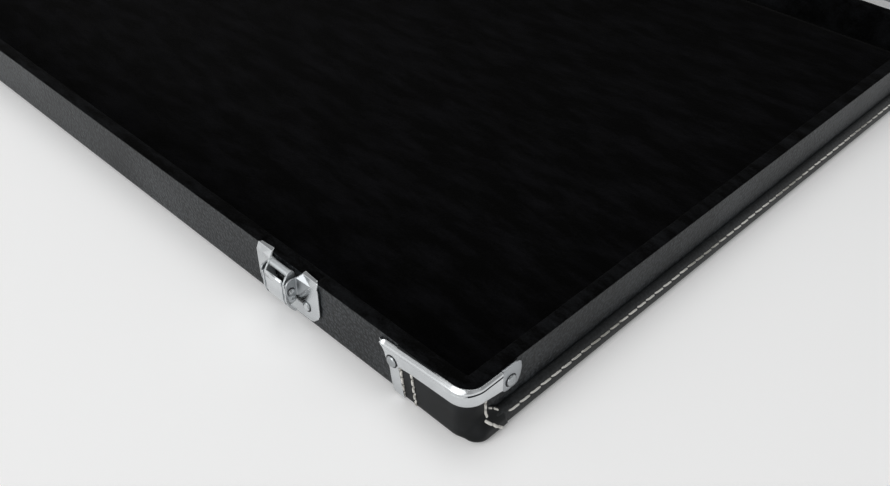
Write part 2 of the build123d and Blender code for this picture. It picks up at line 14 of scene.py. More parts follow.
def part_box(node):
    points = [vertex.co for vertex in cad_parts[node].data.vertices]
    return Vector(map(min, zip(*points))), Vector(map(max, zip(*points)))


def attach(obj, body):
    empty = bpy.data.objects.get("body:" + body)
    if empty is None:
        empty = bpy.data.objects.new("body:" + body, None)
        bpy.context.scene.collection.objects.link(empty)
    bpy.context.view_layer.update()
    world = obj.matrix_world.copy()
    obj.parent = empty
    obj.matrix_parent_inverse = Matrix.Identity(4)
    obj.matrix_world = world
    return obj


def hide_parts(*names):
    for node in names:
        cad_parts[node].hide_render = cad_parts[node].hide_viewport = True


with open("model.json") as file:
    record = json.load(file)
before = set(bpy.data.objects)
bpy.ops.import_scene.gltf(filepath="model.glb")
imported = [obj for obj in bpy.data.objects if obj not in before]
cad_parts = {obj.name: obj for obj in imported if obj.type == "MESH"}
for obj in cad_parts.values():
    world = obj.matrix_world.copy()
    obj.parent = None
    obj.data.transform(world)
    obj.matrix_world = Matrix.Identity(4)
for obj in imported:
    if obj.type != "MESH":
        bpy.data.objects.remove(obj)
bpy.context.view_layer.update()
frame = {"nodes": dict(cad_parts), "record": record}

MM = 0.001
LID_JOINT = next(j for j in frame["record"]["behaviour"]["joints"] if j["name"] == "lid_hinge")

Point = tuple[float, float, float]
Pair = tuple[float, float]
Face = tuple[int, ...]
Grid = list[list[Vector]]


# ---- finishes -------------------------------------------------------------------------
def linear(hex_value: str) -> tuple[float, float, float, float]:
    """Turns an sRGB hex value into linear colour.

    Args:
        hex_value: six hex digits, with or without a leading hash.

    Returns:
        Red, green, blue and alpha.
    """
    digits = hex_value.lstrip("#")
    parts = [int(digits[i:i + 2], 16) / 255 for i in (0, 2, 4)]
    red, green, blue = (c / 12.92 if c <= 0.04045 else ((c + 0.055) / 1.055) ** 2.4 for c in parts)
    return (red, green, blue, 1.0)


def set_inputs(tree: bpy.types.NodeTree, node: bpy.types.Node, inputs: dict) -> None:
    """Sets a node's sockets, or links them.

    Args:
        tree: the node's tree.
        node: the node.
        inputs: socket name or number to a value, or to a socket that is linked to it.
    """
    for key, value in inputs.items():
        if isinstance(value, bpy.types.NodeSocket):
            tree.links.new(value, node.inputs[key])
        else:
            node.inputs[key].default_value = value


def add_node(tree: bpy.types.NodeTree, kind: str, inputs: dict | None = None,
             stops: dict[float, str] | None = None, **settings: object) -> bpy.types.Node:
    """Adds a node with its settings, fixed inputs and links.

    Args:
        tree: the node tree to add to.
        kind: the node's type name.
        inputs: socket name or number to a value, or to a socket that is linked to it.
        stops: a colour ramp's two stops, place on the ramp to sRGB hex.
        settings: the node's own properties.

    Returns:
        The new node.
    """
    node = tree.nodes.new(kind)
    for name, value in settings.items():
        setattr(node, name, value)
    set_inputs(tree, node, inputs or {})
    if stops:
        for element, (place, colour) in zip(node.color_ramp.elements, stops.items()):
            element.position = place
            element.color = linear(colour)
    return node


def per_metre(size_mm: float) -> float:
    """The texture scale that repeats every size_mm millimetres."""
    return 1000.0 / size_mm


@dataclass(frozen=True)
class Finish:
    """A surface finish; each kind adds its own nodes in dress().

    Attributes:
        name: the material's name.
        colour: its main sRGB hex value.
        roughness: the middle roughness.
    """

    name: str
    colour: str
    roughness: float

    def make(self) -> bpy.types.Material:
        """Makes the material once and shares it.

        Returns:
            The material.
        """
        found = bpy.data.materials.get(self.name)
        if found:
            return found
        material = bpy.data.materials.new(self.name)
        material.use_nodes = True
        material.diffuse_color = linear(self.colour)
        tree = material.node_tree
        shader = tree.nodes["Principled BSDF"]
        set_inputs(tree, shader, {
            "Base Color": linear(self.colour),
            "Roughness": self.roughness,
        })
        self.dress(tree, shader, add_node(tree, "ShaderNodeTexCoord").outputs["Object"])
        return material

    def dress(self, tree: bpy.types.NodeTree, shader: bpy.types.Node,
              where: bpy.types.NodeSocket) -> None:
        """Adds this finish's nodes; a plain finish has none.

        Args:
            tree: the material's tree.
            shader: its shader.
            where: the place on the piece, in metres.
        """


@dataclass(frozen=True)
class GrainedVinyl(Finish):
    """PVC leathercloth, embossed with a pebble grain and glued to the plywood.

    Attributes:
        pebble: width of a grain pebble in mm.
        emboss: height of the grain in mm.
        light: sRGB hex of the lighter tops of the pebbles.
        bend: size of the wander that keeps the pebbles from being regular, in mm.
        wander: how far it moves them, in mm.
        fine: size of the fine roughness between the pebbles, in mm.
        patch: size of the lighter and darker patches, in mm.
    """

    pebble: float = 1.5
    emboss: float = 0.34
    light: str = "404447"
    bend: float = 3.0
    wander: float = 1.6
    fine: float = 0.6
    patch: float = 60.0

    def dress(self, tree: bpy.types.NodeTree, shader: bpy.types.Node,
              where: bpy.types.NodeSocket) -> None:
        """The pebbles catch small glints, so the wall looks softly speckled from close by.

        Args:
            tree: the material's tree.
            shader: its shader.
            where: the place on the piece, in metres.
        """
        bend = add_node(tree, "ShaderNodeTexNoise", {
            "Vector": where, "Scale": per_metre(self.bend), "Detail": 2.0,
        })
        wandering = add_node(tree, "ShaderNodeMixRGB", {
            0: self.wander * MM, 1: where, 2: bend.outputs["Color"],
        }, blend_type="ADD")
        pebbles = add_node(tree, "ShaderNodeTexVoronoi", {
            "Vector": wandering.outputs[0], "Scale": per_metre(self.pebble),
        }, feature="SMOOTH_F1")
        fine = add_node(tree, "ShaderNodeTexNoise", {
            "Vector": where, "Scale": per_metre(self.fine), "Detail": 3.0,
        })
        height = add_node(tree, "ShaderNodeMath", {
            0: pebbles.outputs["Distance"], 1: -0.8,
        }, operation="MULTIPLY")
        both = add_node(tree, "ShaderNodeMath", {
            0: fine.outputs[0], 1: 0.25, 2: height.outputs[0],
        }, operation="MULTIPLY_ADD")
        bump = add_node(tree, "ShaderNodeBump", {
            "Height": both.outputs[0], "Strength": 0.9, "Distance": self.emboss * MM,
        })
        patches = add_node(tree, "ShaderNodeTexNoise", {
            "Vector": where, "Scale": per_metre(self.patch), "Detail": 4.0,
        })
        tone = add_node(tree, "ShaderNodeMath", {
            0: patches.outputs[0], 1: 0.5, 2: pebbles.outputs["Distance"],
        }, operation="MULTIPLY_ADD")
        colour = add_node(tree, "ShaderNodeValToRGB", {0: tone.outputs[0]},
                          stops={0.25: self.light, 0.8: self.colour})
        rough = add_node(tree, "ShaderNodeMapRange", {
            "Value": patches.outputs[0], 3: self.roughness - 0.05, 4: self.roughness + 0.08,
        })
        set_inputs(tree, shader, {
            "Normal": bump.outputs[0],
            "Base Color": colour.outputs[0],
            "Roughness": rough.outputs[0],
            "IOR": 1.52,
            "Specular IOR Level": 0.2,
        })


@dataclass(frozen=True)
class Plush(Finish):
    """Short cut-pile polyester plush, glued down.

    Attributes:
        tuft: pile spacing in mm, drawn coarser than real so that it shows.
        brushed: sRGB hex where the nap is brushed towards the light.
        streak: width of a brushed streak in mm.
        lie: direction of the streaks in degrees.
    """

    tuft: float = 0.9
    brushed: str = "17181a"
    streak: float = 32.0
    lie: float = 24.0

    def dress(self, tree: bpy.types.NodeTree, shader: bpy.types.Node,
              where: bpy.types.NodeSocket) -> None:
        """The brushed nap leaves faint lighter streaks and a soft bloom at a low angle.

        Args:
            tree: the material's tree.
            shader: its shader.
            where: the place on the piece, in metres.
        """
        pile = add_node(tree, "ShaderNodeTexNoise", {
            "Vector": where, "Scale": per_metre(self.tuft), "Detail": 2.0,
        })
        stretch = add_node(tree, "ShaderNodeMapping", {
            "Vector": where, "Scale": (1.0, 3.2, 1.0),
            "Rotation": (0.0, 0.0, math.radians(self.lie)),
        })
        streaks = add_node(tree, "ShaderNodeTexNoise", {
            "Vector": stretch.outputs[0], "Scale": per_metre(self.streak), "Detail": 5.0,
            "Roughness": 0.65,
        })
        mixed = add_node(tree, "ShaderNodeMath", {
            0: pile.outputs[0], 1: 0.28, 2: streaks.outputs[0],
        }, operation="MULTIPLY_ADD")
        colour = add_node(tree, "ShaderNodeValToRGB", {0: mixed.outputs[0]},
                          stops={0.56: self.colour, 0.84: self.brushed})
        bump = add_node(tree, "ShaderNodeBump", {
            "Height": pile.outputs[0], "Strength": 0.6, "Distance": 0.5 * MM,
        })
        set_inputs(tree, shader, {
            "Base Color": colour.outputs[0],
            "Normal": bump.outputs[0],
            "Specular IOR Level": 0.03,
            "Sheen Weight": 0.014,
            "Sheen Roughness": 0.45,
        })


@dataclass(frozen=True)
class SmoothLeather(Finish):
    """Chrome-tanned leather, dyed black and pressed nearly smooth.

    Attributes:
        pore: spacing of the pores in mm.
        worn: sRGB hex of the rubbed high places.
        wrinkle: size of the soft wrinkles in mm.
    """

    pore: float = 0.8
    worn: str = "1e2022"
    wrinkle: float = 9.0

    def dress(self, tree: bpy.types.NodeTree, shader: bpy.types.Node,
              where: bpy.types.NodeSocket) -> None:
        """A close grain that stays nearly smooth, with a satin gloss and rubbed patches.

        Args:
            tree: the material's tree.
            shader: its shader.
            where: the place on the piece, in metres.
        """
        pores = add_node(tree, "ShaderNodeTexVoronoi", {
            "Vector": where, "Scale": per_metre(self.pore),
        })
        wrinkle = add_node(tree, "ShaderNodeTexNoise", {
            "Vector": where, "Scale": per_metre(self.wrinkle), "Detail": 6.0,
        })
        height = add_node(tree, "ShaderNodeMath", {
            0: pores.outputs[0], 1: 0.2, 2: wrinkle.outputs[0],
        }, operation="MULTIPLY_ADD")
        bump = add_node(tree, "ShaderNodeBump", {
            "Height": height.outputs[0], "Strength": 0.25, "Distance": 0.2 * MM,
        })
        colour = add_node(tree, "ShaderNodeValToRGB", {0: wrinkle.outputs[0]},
                          stops={0.4: self.colour, 0.75: self.worn})
        rough = add_node(tree, "ShaderNodeMapRange", {
            "Value": wrinkle.outputs[0], 3: self.roughness - 0.06, 4: self.roughness + 0.1,
        })
        set_inputs(tree, shader, {
            "Normal": bump.outputs[0],
            "Base Color": colour.outputs[0],
            "Roughness": rough.outputs[0],
            "IOR": 1.5,
            "Specular IOR Level": 0.14,
        })


@dataclass(frozen=True)
class PlatedSteel(Finish):
    """Pressed sheet steel, polished and nickel-chrome plated.

    Attributes:
        dull: sRGB hex of the slightly hazed areas.
        brushing: spacing of the polishing marks in mm.
        haze: size of the hazed areas in mm.
        edge: radius of the worn edges in mm.
    """

    dull: str = "c8cbcd"
    brushing: float = 1.6
    haze: float = 14.0
    edge: float = 0.35

    def dress(self, tree: bpy.types.NodeTree, shader: bpy.types.Node,
              where: bpy.types.NodeSocket) -> None:
        """Bright and even, with a slight waviness from pressing and faint polishing haze.

        Args:
            tree: the material's tree.
            shader: its shader.
            where: the place on the piece, in metres.
        """
        haze = add_node(tree, "ShaderNodeTexNoise", {
            "Vector": where, "Scale": per_metre(self.haze), "Detail": 5.0,
        })
        colour = add_node(tree, "ShaderNodeValToRGB", {0: haze.outputs[0]},
                          stops={0.35: self.dull, 0.7: self.colour})
        rough = add_node(tree, "ShaderNodeMapRange", {
            "Value": haze.outputs[0], 3: self.roughness - 0.05, 4: self.roughness + 0.07,
        })
        marks = add_node(tree, "ShaderNodeTexNoise", {
            "Vector": where, "Scale": per_metre(self.brushing), "Detail": 2.0,
        })
        edge = add_node(tree, "ShaderNodeBevel", {"Radius": self.edge * MM}, samples=4)
        bump = add_node(tree, "ShaderNodeBump", {
            "Height": marks.outputs[0], "Strength": 0.12, "Distance": 0.08 * MM,
            "Normal": edge.outputs[0],
        })
        set_inputs(tree, shader, {
            "Metallic": 1.0,
            "Base Color": colour.outputs[0],
            "Roughness": rough.outputs[0],
            "Normal": bump.outputs[0],
        })


@dataclass(frozen=True)
class Thread(Finish):
    """Bonded polyester thread, three plies twisted.

    Attributes:
        twist: length of one turn of the plies in mm.
        shade: sRGB hex of the painted shade between the plies.
    """

    twist: float = 1.3
    shade: str = "a9a7a0"

    def dress(self, tree: bpy.types.NodeTree, shader: bpy.types.Node,
              where: bpy.types.NodeSocket) -> None:
        """Off-white, with dark lines of painted shade between the plies, and a dry surface.

        Args:
            tree: the material's tree.
            shader: its shader.
            where: the place on the piece, in metres.
        """
        slant = add_node(tree, "ShaderNodeMapping", {
            "Vector": where,
            "Rotation": (math.radians(35), math.radians(35), math.radians(20)),
        })
        plies = add_node(tree, "ShaderNodeTexWave", {
            "Vector": slant.outputs[0], "Scale": per_metre(self.twist) / 6,
            "Distortion": 0.6, "Detail": 1.0,
        })
        # painted shade: the troughs between the plies get the darker colour
        colour = add_node(tree, "ShaderNodeValToRGB", {0: plies.outputs[1]},
                          stops={0.1: self.shade, 0.5: self.colour})
        bump = add_node(tree, "ShaderNodeBump", {
            "Height": plies.outputs[1], "Strength": 0.4, "Distance": 0.1 * MM,
        })
        set_inputs(tree, shader, {
            "Base Color": colour.outputs[0],
            "Normal": bump.outputs[0],
            "Sheen Weight": 0.2,
        })


@dataclass(frozen=True)
class BirchPly(Finish):
    """Birch plywood, sawn and sanded.

    Attributes:
        growth: spacing of the growth lines in mm.
        late: sRGB hex of the late wood.
    """

    growth: float = 4.0
    late: str = "b98d5c"

    def dress(self, tree: bpy.types.NodeTree, shader: bpy.types.Node,
              where: bpy.types.NodeSocket) -> None:
        """Long pale grain with darker late wood.

        Args:
            tree: the material's tree.
            shader: its shader.
            where: the place on the piece, in metres.
        """
        long = add_node(tree, "ShaderNodeMapping", {"Vector": where, "Scale": (0.08, 1.0, 1.0)})
        grain = add_node(tree, "ShaderNodeTexNoise", {
            "Vector": long.outputs[0], "Scale": per_metre(self.growth), "Detail": 6.0,
        })
        colour = add_node(tree, "ShaderNodeValToRGB", {0: grain.outputs[0]},
                          stops={0.35: self.colour, 0.7: self.late})
        bump = add_node(tree, "ShaderNodeBump", {
            "Height": grain.outputs[0], "Strength": 0.2, "Distance": 0.1 * MM,
        })
        set_inputs(tree, shader, {
            "Base Color": colour.outputs[0],
            "Normal": bump.outputs[0],
        })


class Surface(Enum):
    """Every finish on the case."""

    WALL_VINYL = GrainedVinyl("leathercloth wall", "151719", 0.4)
    STRIP_VINYL = GrainedVinyl("leathercloth binding", "161819", 0.42, pebble=1.2, emboss=0.16,
                               light="2b2e30")
    RIM_PLUSH = Plush("plush rim", "030303", 0.95)
    FLOOR_PLUSH = Plush("plush floor", "020202", 0.95, brushed="0c0c0e")
    CAP_LEATHER = SmoothLeather("corner leather", "111314", 0.38)
    GRIP_LEATHER = SmoothLeather("handle leather", "141517", 0.42, worn="25272a")
    PLATING = PlatedSteel("plated steel", "d9dcde", 0.2)
    # painted shade: a dark plating put in the guards' grooves and steps and on the rings round the
    # rivets
    RECESS = PlatedSteel("painted shade plating", "3a3c3e", 0.5, dull="232426")
    # grey plating: a plain greyer tone on a guard's tab, and painted shade on a latch's gusset
    # facets and ears
    GREY_PLATING_PAINTED_SHADE = PlatedSteel("unbuffed plating", "b4b8bb", 0.36, dull="999da0")
    ROLL_PLATING = PlatedSteel("zinc plated roll", "c6cacc", 0.5, dull="b2b6b8")
    RIVET_PLATING = PlatedSteel("plated rivet", "aeb2b4", 0.26, dull="95999b")
    PIN_STEEL = PlatedSteel("bright steel pin", "b8bbbd", 0.3, dull="9b9ea0")
    THREAD = Thread("stitching thread", "e4e2dc", 0.75)
    PLYWOOD = BirchPly("birch plywood", "d9b988", 0.6)

    def material(self) -> bpy.types.Material:
        """The finish's material."""
        return self.value.make()


# ---- meshes ---------------------------------------------------------------------------
def grid_faces(rows: int, columns: int, ring_rows: bool = False,
               ring_columns: bool = False) -> list[Face]:
    """Quads between neighbouring points of a grid.

    Args:
        rows: number of rows.
        columns: points in each row.
        ring_rows: whether the last row joins the first.
        ring_columns: whether each row is a ring.

    Returns:
        The faces, numbered row by row.
    """
    faces = []
    for r in range(rows if ring_rows else rows - 1):
        for c in range(columns if ring_columns else columns - 1):
            here, below = r * columns, (r + 1) % rows * columns
            right = (c + 1) % columns
            faces.append((here + c, here + right, below + right, below + c))
    return faces


def turned(faces: list[Face]) -> list[Face]:
    """The faces with their sides swapped."""
    return [tuple(reversed(face)) for face in faces]


def shifted(faces: list[Face], by: int) -> list[Face]:
    """The faces numbered on from by."""
    return [tuple(i + by for i in face) for face in faces]


def tube_faces(rings: int, sides: int) -> list[Face]:
    """The faces of a tube with both its ends closed."""
    ends = [tuple(reversed(range(sides))), tuple((rings - 1) * sides + k for k in range(sides))]
    return grid_faces(rings, sides, ring_columns=True) + ends


def flatten(grid: Grid) -> list[Vector]:
    """The grid's points in one list, row by row."""
    return [point for row in grid for point in row]


def mirrored(points: Grid, flips: tuple[bool, bool]) -> Grid:
    """The points mirrored left to right, front to back, or both."""
    sx, sy = (-1 if flips[0] else 1), (-1 if flips[1] else 1)
    return [[Vector((sx * p.x, sy * p.y, p.z)) for p in row] for row in points]


def mesh_object(name: str, points: Sequence[Vector], faces: list[Face],
                surface: Surface) -> bpy.types.Object:
    """A smooth-shaded mesh object in the scene.

    Args:
        name: the piece's name.
        points: its points in metres.
        faces: its faces.
        surface: its finish.

    Returns:
        The new object.
    """
    mesh = bpy.data.meshes.new(name)
    mesh.from_pydata([tuple(p) for p in points], [], faces)
    mesh.materials.append(surface.material())
    mesh.shade_smooth()
    mesh.update()
    piece = bpy.data.objects.new(name, mesh)
    bpy.context.scene.collection.objects.link(piece)
    return piece


def smooth_step(value: float, low: float, high: float) -> float:
    """0 below low, 1 above high, and a smooth rise between them."""
    t = min(1.0, max(0.0, (value - low) / (high - low)))
    return t * t * (3 - 2 * t)


def between(value: float, stops: Sequence[Pair]) -> float:
    """Reads a value off straight lines between stops.

    Args:
        value: where to read.
        stops: (place, value) pairs in rising order.

    Returns:
        The value there, held beyond the first and last stops.
    """
    if value <= stops[0][0]:
        return stops[0][1]
    for (low, a), (high, b) in zip(stops, stops[1:]):
        if value <= high:
            return a + (b - a) * (value - low) / (high - low)
    return stops[-1][1]


@dataclass(frozen=True)
class Case:
    """The case's driving sizes in mm, most of them shared with the frame.

    Attributes:
        rim: thickness of the plush over a wall's edge.
        wall_in: from a wall's outer face to its bare wood inside.
        clear_in: from a wall's outer face to the lining's inner face.
        corner: radius of the upright corners.
        edge: radius of the edge round the underside.
        leather: thickness of a corner cap.
        latch_x: how far the latches stand each side of the middle.
        open_angle: how far the lid stands open at rest, in degrees.
        half_length: half the outside length over the vinyl.
        half_depth: half the outside depth over the vinyl.
        hinge: a point on the hinge axis.
    """

    rim: float = 1.2
    wall_in: float = 5.6
    clear_in: float = 7.0
    corner: float = 8.0
    edge: float = 3.0
    leather: float = 0.8
    latch_x: float = 183.0
    open_angle: float = 100.0
    half_length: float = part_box("tray_side_covering")[1][0] / MM
    half_depth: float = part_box("tray_side_covering")[1][1] / MM
    hinge: Point = tuple(place / MM for place in LID_JOINT["pos_m"])

    def open_up(self, point: Vector) -> Vector:
        """Turns a point of the shut lid about the hinge to where the lid stands open.

        Args:
            point: where it is with the lid shut, in mm.

        Returns:
            Where it stands with the lid open, in metres.
        """
        hinge = Vector(self.hinge)
        turn = Matrix.Rotation(-math.radians(self.open_angle), 3, "X")
        return (turn @ (point - hinge) + hinge) * MM


CASE = Case()


@dataclass(frozen=True)
class Shell:
    """The tray or the lid, both built rim upwards with the outside face on z = 0.

    Attributes:
        prefix: the start of its nodes' names.
        height: from the outside face to the top of the plush rim, in mm.
        pad_low: underside of its padding in mm.
        pad_top: top of its padding in mm.
        is_lid: whether it is turned over and opened.
    """

    prefix: str
    height: float
    pad_low: float
    pad_top: float
    is_lid: bool

    def place(self, point: Vector) -> Vector:
        """Moves a point from the shell's own space to where the shell stands.

        Args:
            point: the point in the shell's own millimetres.

        Returns:
            The same point in metres.
        """
        if not self.is_lid:
            return point * MM
        seal = 2 * (Vector(CASE.hinge).z - TRAY.height)
        shut = Vector((point.x, point.y, TRAY.height + seal + self.height - point.z))
        return CASE.open_up(shut)

    @property
    def vinyl_top(self) -> float:
        """Height of the vinyl's edge under the rim."""
        return self.height - CASE.rim


TRAY = Shell("tray", 31.7, 4.7, 7.7, False)
LID = Shell("lid", 65.5, 4.7, 16.7, True)


class Corner(Enum):
    """The four corners, as (mirrored left, mirrored to the back)."""

    FRONT_RIGHT = (False, False)
    FRONT_LEFT = (True, False)
    BACK_RIGHT = (False, True)
    BACK_LEFT = (True, True)


def make_piece(shell: Shell, name: str, grid: Grid, faces: list[Face], surface: Surface,
               flips: tuple[bool, bool] = (False, False)) -> bpy.types.Object:
    """A piece of a shell from points in the shell's own millimetres.

    Args:
        shell: the tray or the lid.
        name: the piece's name without the prefix.
        grid: its points, as they stand at the front right.
        faces: its faces.
        surface: its finish.
        flips: whether it is mirrored to the left, and to the back.

    Returns:
        The piece, riding on the shell's body.
    """
    points = [shell.place(p) for p in flatten(mirrored(grid, flips))]
    inside_out = (flips[0] != flips[1]) != shell.is_lid
    piece = mesh_object(f"{shell.prefix}_{name}", points, turned(faces) if inside_out else faces,
                        surface)
    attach(piece, shell.prefix)
    return piece


# ---- soft lining ----------------------------------------------------------------------
@dataclass
class PlushInside:
    """The plush rim, the wall lining and the padding of one shell.

    Attributes:
        shell: the tray or the lid.
        step: spacing of the lining's sections in mm.
        turn_steps: sections round each upright corner.
        flange_half: half the length of the notch in the rim under a latch's top flanges, in mm.
        flange_back: how far that notch reaches in, in mm.
        notch_edge: half the length over which the notch's ends drop, in mm.
        soft: radius of the rim's rounded edges in mm.
        swell: how much the rim's middle stands up, in mm.
        nap: how far the pile wanders in mm.
        tuck: how far the padding dips where it meets the walls, in mm.
        crown: how much the padding's middle stands up, in mm.
        wave: how far the padding's top wanders, in mm.
        pad_cells: the padding's cells along the case's length and depth.
        pad_gap: clearance from the padding to the walls, in mm.
    """

    shell: Shell
    step: float = 4.0
    turn_steps: int = 8
    flange_half: float = 21.3
    flange_back: float = 2.6
    notch_edge: float = 0.2
    soft: float = 0.85
    swell: float = 0.12
    nap: float = 0.16
    tuck: float = 1.1
    crown: float = 0.0
    wave: float = 0.22
    pad_cells: tuple[int, int] = (110, 84)
    pad_gap: float = 0.1

    def path(self) -> Iterator[tuple[Vector, Vector]]:
        """Walks anticlockwise round the outside at z = 0.

        Returns:
            Points in mm, each with its outward direction.
        """
        a, b, r = CASE.half_length - CASE.corner, CASE.half_depth - CASE.corner, CASE.corner
        corners = [(a, b, 0, 2 * a), (-a, b, 90, 2 * b), (-a, -b, 180, 2 * a), (a, -b, 270, 2 * b)]
        for x, y, start, length in corners:
            for k in range(self.turn_steps + 1):
                angle = math.radians(start + 90 * k / self.turn_steps)
                out = Vector((math.cos(angle), math.sin(angle), 0))
                yield Vector((x, y, 0)) + out * r, out
            along = Vector((-out.y, out.x, 0))
            count = int(length / self.step)
            stops = [length * k / count for k in range(1, count)]
            if start == 180 and not self.shell.is_lid:
                ends = [side * CASE.latch_x + end * self.flange_half
                        for side in (-1, 1) for end in (-1, 1)]
                stops += [a + end + shift for end in ends
                          for shift in (-self.notch_edge, self.notch_edge)]
            for stop in sorted(stops):
                yield Vector((x, y, 0)) + out * r + along * stop, out

    def section(self) -> list[Pair]:
        """Draws the lining's closed section.

        Returns:
            Its points as (in from the outside, up), in mm.
        """
        top, inner, wood = self.shell.height, CASE.clear_in, CASE.wall_in + 0.05
        low, ply = self.shell.pad_top - self.tuck, self.shell.vinyl_top
        soft = self.soft
        angles = [math.pi / 2 * k / 4 for k in range(5)]
        rim = [(soft - soft * math.cos(t), top - soft + soft * math.sin(t)) for t in angles]
        rim += [(inner * 0.33, top + self.swell), (inner * 0.66, top + self.swell)]
        rim += [(inner - soft + soft * math.sin(t), top - soft + soft * math.cos(t))
                for t in angles]
        wall = [(inner, ply - (ply - low) * k / 6) for k in range(1, 7)]
        return [(0.05, ply + 0.02)] + rim + wall + [(wood, low), (wood, ply + 0.02)]

    def ceiling(self, place: Vector, inward: float) -> float:
        """Finds the height that the rim keeps below, lower at a latch's top flanges.

        Args:
            place: the point of the path.
            inward: how far in from the outside, in mm.

        Returns:
            The height in mm.
        """
        across = abs(abs(place.x) - CASE.latch_x)
        at_front = (place.y < CASE.corner - CASE.half_depth
                    and abs(place.x) < CASE.half_length - CASE.corner)
        under_flange = inward < self.flange_back and across < self.flange_half
        if self.shell.is_lid or not (at_front and under_flange):
            return self.shell.height + 1.0
        return self.shell.vinyl_top + 0.05

    def lining(self) -> bpy.types.Object:
        """Builds the rim and the wall lining, their pile slightly uneven.

        Returns:
            The piece.
        """
        section = self.section()
        grid = []
        for place, out in self.path():
            row = []
            for inward, up in section:
                point = place - out * inward + Vector((0, 0, up))
                if up > self.shell.vinyl_top + 0.1 or inward >= CASE.clear_in:
                    lift = noise.noise(point / 7.0) * self.nap
                    on_top = up >= self.shell.height - 0.2
                    point = point + (Vector((0, 0, 1)) if on_top else -out) * lift
                point.z = min(point.z, self.ceiling(place, inward))
                row.append(point)
            grid.append(row)
        faces = grid_faces(len(grid), len(section), ring_rows=True, ring_columns=True)
        piece = make_piece(self.shell, "plush_lining", grid, faces, Surface.RIM_PLUSH)
        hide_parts(f"{self.shell.prefix}_lining")
        return piece

    def pad_height(self, x: float, y: float, edge: float) -> float:
        """Finds the height of the padding's top.

        Args:
            x: the place along the case's length, in mm.
            y: the place along its depth, in mm.
            edge: distance to the nearest edge of the padding, in mm.

        Returns:
            The height in mm.
        """
        dip = self.tuck * (1 - smooth_step(edge, 1.0, 9.0))
        rise = self.crown * smooth_step(edge, 0.0, 120.0)
        wander = self.wave * noise.noise(Vector((x / 45, y / 30, 0.5)))
        return self.shell.pad_top - dip + rise + wander * smooth_step(edge, 2, 20)

    def padding(self) -> bpy.types.Object:
        """Builds the padded plush that the pedals stand on.

        Returns:
            The piece.
        """
        half_x = CASE.half_length - CASE.wall_in - self.pad_gap
        half_y = CASE.half_depth - CASE.wall_in - self.pad_gap
        across, along = self.pad_cells
        top, under = [], []
        for r in range(along + 1):
            y = -half_y + 2 * half_y * r / along
            row = []
            for c in range(across + 1):
                x = -half_x + 2 * half_x * c / across
                edge = min(half_x - abs(x), half_y - abs(y))
                row.append(Vector((x, y, self.pad_height(x, y, edge))))
            top.append(row)
            under.append([Vector((p.x, p.y, self.shell.pad_low + 0.05)) for p in row])
        wide = across + 1
        size = (along + 1) * wide
        faces = grid_faces(along + 1, wide)
        faces += shifted(turned(faces), size)
        ring = list(range(wide))
        ring += [r * wide + across for r in range(1, along + 1)]
        ring += [along * wide + c for c in range(across - 1, -1, -1)]
        ring += [r * wide for r in range(along - 1, 0, -1)]
        for here, after in zip(ring, ring[1:] + ring[:1]):
            faces.append((after, here, here + size, after + size))
        piece = make_piece(self.shell, "plush_padding", top + under, faces, Surface.FLOOR_PLUSH)
        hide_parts(f"{self.shell.prefix}_pad")
        return piece

    def build(self) -> list[bpy.types.Object]:
        """Both soft pieces."""
        return [self.lining(), self.padding()]


# ---- stitching ------------------------------------------------------------------------
@dataclass
class StitchRow:
    """A row of hand-length stitches over a surface.

    Attributes:
        route: points along the row in mm, each with its outward direction.
        stitch: length of one stitch in mm.
        gap: bare length between two stitches in mm.
        thick: the thread's diameter in mm.
        slant: how far each stitch's ends step sideways in mm.
        sides: points round the thread.
        parts: lengths that each stitch is drawn in.
        look: how far ahead and behind the thread's direction is taken, in mm.
        lengths: distance along the route to each of its points, in mm.
    """

    route: list[tuple[Vector, Vector]]
    stitch: float
    gap: float
    thick: float
    slant: float
    sides: int = 6
    parts: int = 10
    look: float = 0.3
    lengths: list[float] = field(init=False)

    def __post_init__(self) -> None:
        """Adds up the distances between the route's points."""
        self.lengths = [0.0]
        for (p, _), (q, _) in zip(self.route, self.route[1:]):
            self.lengths.append(self.lengths[-1] + (q - p).length)

    def at(self, distance: float) -> tuple[Vector, Vector]:
        """Finds a place on the route.

        Args:
            distance: how far along, in mm.

        Returns:
            The point and its outward direction.
        """
        clipped = min(max(distance, 0.0), self.lengths[-1] - 1e-6)
        k = max(i for i, total in enumerate(self.lengths[:-1]) if total <= clipped)
        t = (clipped - self.lengths[k]) / (self.lengths[k + 1] - self.lengths[k])
        (p, n), (q, m) = self.route[k], self.route[k + 1]
        return p.lerp(q, t), n.lerp(m, t).normalized()

    def ring(self, distance: float, t: float) -> list[Vector]:
        """Draws the thread's outline at one place of a stitch.

        Args:
            distance: how far along the route, in mm.
            t: the share of the stitch behind it, from 0 to 1.

        Returns:
            The points round the thread.
        """
        point, out = self.at(distance)
        forward = (self.at(distance + self.look)[0] - self.at(distance - self.look)[0]).normalized()
        side = forward.cross(out).normalized()
        rise = math.sin(math.pi * t) ** 0.3
        radius = self.thick / 2 * (0.7 + 0.3 * rise)
        lazy = 2 * t - 1 + 0.35 * math.sin(2 * math.pi * t)
        middle = point + out * (self.thick * (0.5 * rise - 0.3)) + side * self.slant * lazy
        middle = middle + side * 0.12 * noise.noise(point * 0.7)
        angles = [2 * math.pi * j / self.sides for j in range(self.sides)]
        return [middle + (side * math.cos(a) + out * math.sin(a)) * radius for a in angles]

    def mesh(self) -> tuple[Grid, list[Face]]:
        """Draws all the stitches as tubes that dive into the surface at both ends.

        Returns:
            The rings of points and the faces.
        """
        total = self.lengths[-1]
        count = max(1, round(total / (self.stitch + self.gap)))
        pitch = total / count
        reach = pitch - self.gap
        rings, faces = [], []
        for s in range(count):
            start = s * pitch + self.gap / 2
            faces += shifted(tube_faces(self.parts + 1, self.sides), len(rings) * self.sides)
            for t in (k / self.parts for k in range(self.parts + 1)):
                rings.append(self.ring(start + reach * t, t))
        return rings, faces


